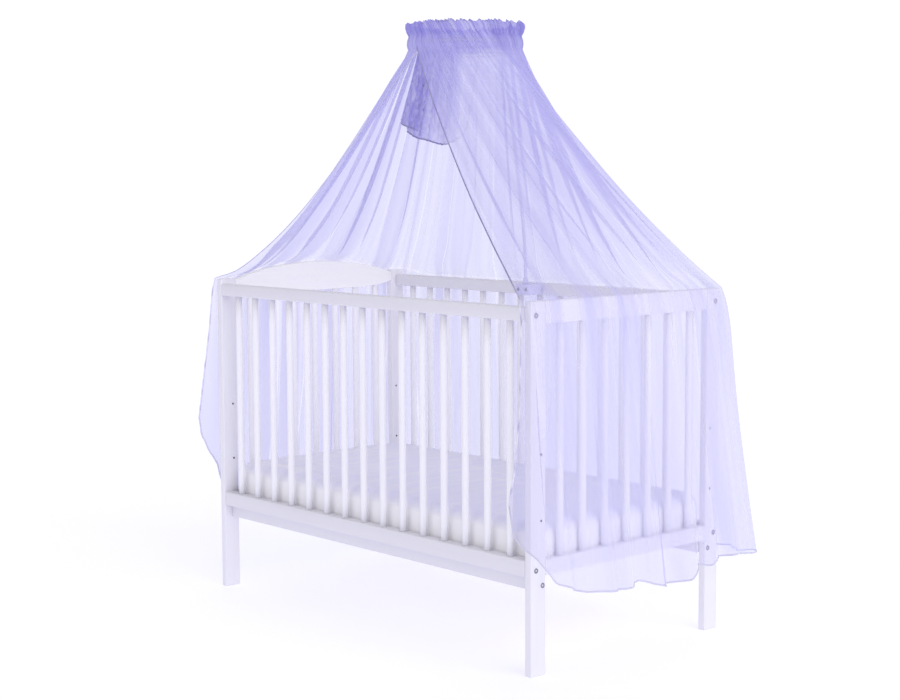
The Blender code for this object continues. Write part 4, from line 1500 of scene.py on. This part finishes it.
    def fall(self, share: Array, way: Array, angle: Array) -> Array:
        """The inner fall: a cone that widens downwards, with one edge lapped over the other."""
        hem = read(self.FALL_HEM, np.degrees(angle))
        z = hem + (self.FALL_TOP_Z - hem) * np.clip(way, 0, 1)
        flare = self.FALL_FLARE + self.FALL_SWING * np.cos(angle + math.pi / 2)
        lap = read(self.FALL_LAP, share)
        radius = self.FALL_RADIUS + flare * (self.FALL_TOP_Z - z) - self.FALL_LAP_IN * lap
        return self.ring(angle + np.radians(lap) * np.clip(1.4 * (1 - way), 0, 1), radius, z)

    def header(self, share: Array, way: Array, angle: Array) -> Array:
        """Casing and ruffle: the header's section turned round the hoop, its top leaning."""
        section = smooth_line(self.HEADER, 200)
        place = np.clip(way - 1, 0, 1) * (len(section) - 1)
        order = np.arange(len(section))
        radius, z = (np.interp(place, order, section[:, side]) for side in (0, 1))
        lean = np.radians(read(self.LEAN, share)) * np.clip(1 - 2 * np.abs(way - 1.5), 0, 1)
        return self.ring(angle + lean, radius, z)

    def slope(self, way: Array, angle: Array, station: Array, crest: Array) -> Array:
        """A straight line from the hoop to the cot's edge, less a skewed parabola of sag."""
        radius, z = self.HEADER[-1]
        start = self.ring(angle, np.full_like(way, radius), z)
        step = np.clip(way - 2, 0, 1)
        slope = start + (crest - start) * step[..., None]
        sag, skew = (np.interp(station, self.SAG_AT, row) for row in (self.SAG, self.SAG_SKEW))
        slope[..., 2] -= 4 * sag * step * (1 - step) * (1 + skew * (2 * step - 1))
        return slope

    def drop(self, way: Array, station: Array, top: Array, crest: Array) -> Array:
        """A bend over the cot's edge, then a line that swings out to the hem.

        Formula: the bend is a quadratic curve from the crest to the lip.  Below it the
        height falls evenly, and the plan goes from the lip's path to the hem's, part of
        it at once and the rest evenly.  Near its right front edge the cloth also follows
        that edge's own course along X.
        """
        lip_x, lip_y, _ = self.along(self.lip_path, station)
        lip = np.stack([lip_x, lip_y, top - self.LIP_DROP], axis=-1)
        hem_x, hem_y, distance = self.along(self.hem_path, station)
        hem_z = self.hem_height(station, distance)
        step = np.clip(way - 3, 0, 1)
        bend = np.clip(step / self.LIP_END, 0, 1)[..., None]
        control = np.stack([lip_x, lip_y, top + self.CREST_LIFT - self.LIP_CONTROL], axis=-1)
        over = (1 - bend) ** 2 * crest + 2 * bend * (1 - bend) * control + bend ** 2 * lip
        fallen = np.clip((step - self.LIP_END) / (1 - self.LIP_END), 0, 1)
        quick = self.QUICK_OUT * (1 - np.exp(-fallen / self.QUICK_SHARE))
        out = quick + (1 - self.QUICK_OUT) * fallen
        lip_end, hem_end = self.LIP_PATH[2], self.HEM_PATH[2]
        sway = np.clip(1 - (self.hem_path[2][-1] - distance) / self.SWAY_REACH, 0, 1) ** 2
        course = self.RAIL_PATH[2] + read(self.RIGHT_SWAY, fallen)
        drop = np.stack([
            lip_x + (hem_x - lip_x) * out + sway * (course - lip_end - (hem_end - lip_end) * out),
            lip_y + (hem_y - lip_y) * out,
            lip[..., 2] + (hem_z - lip[..., 2]) * fallen,
        ], axis=-1)
        return np.where(step[..., None] < self.LIP_END, over, drop)

    def rows(self) -> Array:
        """Way down of each row, closer together where the cloth bends."""
        parts = [np.linspace(*section, endpoint=False) for section in self.ROWS]
        return np.concatenate(parts + [[4.0]])

    def outward(self, share: Array, way: Array) -> Array:
        """Unit normals of the smooth net, facing away from its inside."""
        small = 0.002
        across = self.smooth(np.clip(share + small, 0, 1), way)
        across = across - self.smooth(np.clip(share - small, 0, 1), way)
        down = self.smooth(share, np.clip(way + 4 * small, 0, 4))
        down = down - self.smooth(share, np.clip(way - 4 * small, 0, 4))
        normal = np.cross(down, across)
        return normal / np.maximum(np.linalg.norm(normal, axis=-1, keepdims=True), 1e-9)

    @staticmethod
    def crumple(share: Array, way: Array) -> Array:
        """Height of swirling creases: sines of sines, so that the ridges curl."""
        x, y = 84 * share, 24 * way
        bend_x = x + 1.3 * np.sin(1.9 * y + 0.7) + 0.6 * np.sin(3.1 * x - y)
        bend_y = y + 1.1 * np.sin(1.6 * x + 1.9) + 0.5 * np.cos(2.7 * y + x)
        return np.sin(1.7 * bend_x + 1.2 * bend_y) + 0.6 * np.cos(2.9 * bend_x - 2.3 * bend_y)

    def folds(self, share: Array, way: Array) -> tuple[Array, Array, Array]:
        """Share shifted by all the folds, depth outwards in metres, and painted shade in the
        valleys.
        """
        fade = np.clip(np.minimum(share, 1 - share) / self.EDGE_FADE, 0, 1)
        lapped, lift = read(self.LAPPED, share) * fade, read(self.LIFT, way)
        late = np.clip((way - self.BILLOW_FROM) / (4 - self.BILLOW_FROM), 0, 1)
        billow = 1 + (read(self.BILLOW, share) - 1) * late
        moved, depth, valley = share.copy(), np.zeros_like(share), np.zeros_like(share)
        for family in self.FAMILIES:
            side, deep, sine = family.shift(share, way)
            moved = moved + side * lapped
            depth = depth + deep * billow * (sine + lift)
            valley = valley - family.tight * sine
        near = read(self.NEAR_RAIL, way)
        for corner in self.rail_path[2][1:4] / self.rail_path[2][-1]:
            still = np.exp(-((share - corner) / self.CORNER_REACH) ** 2)
            depth = depth * (1 - self.CORNER_STILL * near * still)
        return np.clip(moved, 0, 1), depth, valley

    def layers(self, share: Array, way: Array, flat: Array, bunch: Array) -> Array:
        """Layers of cloth that lie together at each place.

        Formula: the cut width over the width that the cloth spans there, held between the
        fewest and the most; then times the factors of the tables.
        """
        span = np.linalg.norm(np.gradient(flat, axis=1), axis=2) * (self.columns - 1)
        most, least = read(self.LAYERS_HIGH, way), read(self.LAYERS_LOW, way)
        most = np.where(way > self.EVEN_FROM, np.minimum(most, read(self.EVEN_MOST, share)), most)
        least = least * np.where(way < 3, read(self.EVEN_LEAST, share), 1.0)
        layers = np.clip(self.flat[0] / np.maximum(span, 1e-6), least, most)
        loop = np.exp(-((share - self.LOOP) / self.LOOP_REACH) ** 2) * read(self.LOOP_DOWN, way)
        factors = (
            1 + (read(self.SPREAD, share) - 1) * np.clip(way - 2, 0, 1) ** 2,
            1 + self.FOOT_CLOSE * self.foot(share, way),
            np.where(way > 3, read(self.DROP, share), 1.0),
            1 + self.LOOP_CLOSE * loop,
            np.where(way < 1, self.FALL_LAYERS + self.BUNCH_LAYERS * bunch, 1.0),
        )
        return layers * np.prod(factors, axis=0)

    def foot(self, share: Array, way: Array) -> Array:
        """How far each place belongs to the foot end's drop."""
        below = np.clip((way - self.FOOT_FROM) / self.FOOT_FADE, 0, 1)
        return read(self.FOOT, share) * below

    def grid(self) -> tuple[Array, Array, dict[str, Array]]:
        """Places and normals of the folded net by row and column, and its points' values."""
        share, way = np.meshgrid(np.linspace(0, 1, self.columns), self.rows())
        moved, depth, valley = self.folds(share, way)
        bunch, crumple = read(self.BUNCH, share), self.crumple(share, way)
        swirl = bunch * read(self.CRUMPLE_DOWN, way) * read(self.CRUMPLE_ROUND, share)
        depth = depth + self.CRUMPLE * swirl * crumple
        flat, normal = self.smooth(moved, way), self.outward(moved, way)
        places = flat + normal * depth[..., None]
        uneven = np.sin(61 * share + 2) + np.sin(143 * share + 1) + np.sin(237 * share)
        places[..., 2] += self.RUFFLE_UNEVEN * read(self.RUFFLE_RIM, way) * uneven

        # Painted shade: the fall is darker in its creases and where it is bunched; the header and
        # the slope below it darken by the way down and in the folds' valleys.
        middle, swing, least = self.CREASE
        crease = bunch * np.clip(middle + swing * crumple, least, 1)
        deep = np.where(way < 1, crease, read(self.DEEP, way) + read(self.GATHERED, way) * valley)
        tint = self.TINT * (1 - self.FOOT_PALE * self.foot(share, way))
        return places, normal, {
            "share": share, "way": way, "layers": self.layers(share, way, flat, bunch),
            "deep": tint + (1 - tint) * np.clip(deep, 0, 1),
            "bands": read(self.BANDS, way) * read(self.BANDS_ROUND, share),
        }

    def edge_shade(self, way: Array, most: float) -> Array:
        """Painted shade on a front edge's hem: most on the slope, paler where it hangs, with
        painted glints there.
        """
        glint = self.GLINT * (np.sin(37 * way) + np.sin(61 * way + 1))
        return most * read(self.EDGE_SHADE, way) + glint * (way > 3)

    def build(self) -> None:
        """Make the sheet and the narrow hems on its four edges."""
        places, normal, values = self.grid()
        share, way = values.pop("share")[0], values.pop("way")[:, 0]
        gaps = np.linalg.norm(np.diff(places, axis=0), axis=2).mean(axis=1)
        length = np.concatenate([[0], np.cumsum(gaps)]) / gaps.sum()
        surface = Surface.from_grid(places)
        surface.uv = np.stack(np.meshgrid(share, length), axis=-1).reshape(-1, 2)
        surface.values = {label: numbers.ravel() for label, numbers in values.items()}
        sheet = add_piece("net_sheet", surface, self.palette.voile, ("net",))
        free = way >= self.EDGE_FROM
        hems = [
            self.hem(f"hem_{label}", line, out, shade) for label, line, out, shade in (
                ("outer", places[-1], normal[-1], np.full(len(share), self.OUTER_SHADE)),
                ("left_edge", places[free, 0], normal[free, 0],
                 self.edge_shade(way[free], self.LEFT_SHADE)),
                ("right_edge", places[free, -1], normal[free, -1],
                 self.edge_shade(way[free], self.RIGHT_SHADE)),
                ("inner", places[0], normal[0], read(self.INNER_SHADE, share)),
            )
        ]

    def hem(self, name: str, line: Array, out: Array, shade: Array) -> bpy.types.Object:
        """One rolled hem: a flat bead along an edge, given the sheet's normals and a shade."""
        width, height, sides = self.BEAD
        bead = swept(line, np.cross(np.gradient(line, axis=0), out), width, height, sides=sides)
        bead.values = {"deep": np.repeat(shade, sides)}
        round_, along = np.meshgrid(np.linspace(0, 1, sides), np.linspace(0, 1, len(line)))
        bead.uv = np.stack([along, round_], axis=-1).reshape(-1, 2)
        return add_piece(name, bead, self.palette.hem)


# ================================================================ studio
@dataclass(frozen=True)
class Studio:
    """Camera, lights, backdrop and floor.

    Attributes:
        place: the camera's place.
        turn: its turn to the left of +Y, its tilt and its roll, in degrees.
        focal: its focal length in pixels of an image as wide as image_width.
        image_width: width of that image in pixels.
        sensor: width of the camera's sensor in millimetres.
    """

    place: Point = (3.3837, -3.0805, 1.1532)
    turn: Point = (48.1436, -5.8199, -0.282)
    focal: float = 1732.63
    image_width: float = 900.0
    sensor: float = 36.0

    # The white room, as it lights the part and as it is seen.
    ROOM_LIGHT = (0.480, 0.475, 0.497, 1.0)
    ROOM_SEEN = (1.015, 1.015, 1.140, 1.0)
    # Far soft lamps: name, the side that they shine from, strength.
    LAMPS = (
        ("key_right", (0.86, -0.10, 0.50), 1.15),
        ("fill_front", (-0.12, -0.94, 0.32), 0.32),
        ("top_back", (-0.42, 0.40, 0.82), 0.50),
    )
    LAMP_ANGLE = 60.0
    FLOOR_REACH = 40.0
    FLOOR_COLOUR = (0.62, 0.62, 0.66, 1.0)
    FLOOR_GLOW = (0.50, 0.505, 0.60, 1.0)

    def build(self) -> None:
        """Make the whole studio."""
        self.build_camera()
        self.build_lights()
        self.build_floor()
        scene = bpy.context.scene
        scene.view_settings.view_transform = "Standard"
        scene.cycles.transparent_max_bounces = 64
        scene.cycles.max_bounces = 8

    def build_camera(self) -> None:
        """The camera at the photograph's angle."""
        data = bpy.data.cameras.new("camera")
        data.sensor_fit = "HORIZONTAL"
        data.sensor_width = self.sensor
        data.lens = self.sensor * self.focal / self.image_width
        camera = bpy.data.objects.new("camera", data)
        bpy.context.scene.collection.objects.link(camera)
        yaw, pitch, roll = (math.radians(angle) for angle in self.turn)
        aim = Matrix.Rotation(yaw, 4, "Z") @ Matrix.Rotation(math.pi / 2 + pitch, 4, "X")
        camera.matrix_world = Matrix.Translation(self.place) @ aim @ Matrix.Rotation(roll, 4, "Z")
        bpy.context.scene.camera = camera

    def build_lights(self) -> None:
        """A white room: soft light from all round, more from +X and from the front."""
        world = bpy.data.worlds.new("white_room")
        bpy.context.scene.world = world
        world.use_nodes = True
        tree = ShaderTree(world.node_tree)
        back = world.node_tree.nodes["Background"]
        seen = tree.add("ShaderNodeLightPath").outputs["Is Camera Ray"]
        tree.feed(back.inputs["Color"], tree.mix(seen, self.ROOM_LIGHT, self.ROOM_SEEN))
        for name, side, strength in self.LAMPS:
            self.lamp(name, side, strength)

    def lamp(self, name: str, side: Point, strength: float) -> None:
        """A very soft far lamp that shines from a given side."""
        data = bpy.data.lights.new(name, "SUN")
        data.energy = strength
        data.angle = math.radians(self.LAMP_ANGLE)
        lamp = bpy.data.objects.new(name, data)
        bpy.context.scene.collection.objects.link(lamp)
        lamp.rotation_euler = Vector(side).to_track_quat("Z", "Y").to_euler()

    def build_floor(self) -> None:
        """A plain white floor, bright enough to meet the white room."""
        reach = self.FLOOR_REACH
        corners = [(-reach, -reach, 0), (reach, -reach, 0), (reach, reach, 0), (-reach, reach, 0)]
        mesh = bpy.data.meshes.new("floor")
        mesh.from_pydata(corners, [], [(0, 1, 2, 3)])
        floor = bpy.data.objects.new("floor", mesh)
        bpy.context.scene.collection.objects.link(floor)
        material, _, shader = start_material("white_floor")
        for label, value in (
            ("Base Color", self.FLOOR_COLOUR), ("Roughness", 0.9), ("Specular IOR Level", 0.0),
            ("Emission Color", self.FLOOR_GLOW), ("Emission Strength", 1.0),
        ):
            shader.inputs[label].default_value = value
        mesh.materials.append(material)


# ================================================================ everything
def main() -> None:
    """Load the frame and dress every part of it."""
    logging.basicConfig(level=logging.INFO, format="%(message)s")
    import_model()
    palette = Palette(Effects())
    Studio().build()
    Cot(palette).build()
    Mattress(palette).build()
    Holder(palette).build()
    Net(palette).build()


if __name__ == "__main__":
    main()
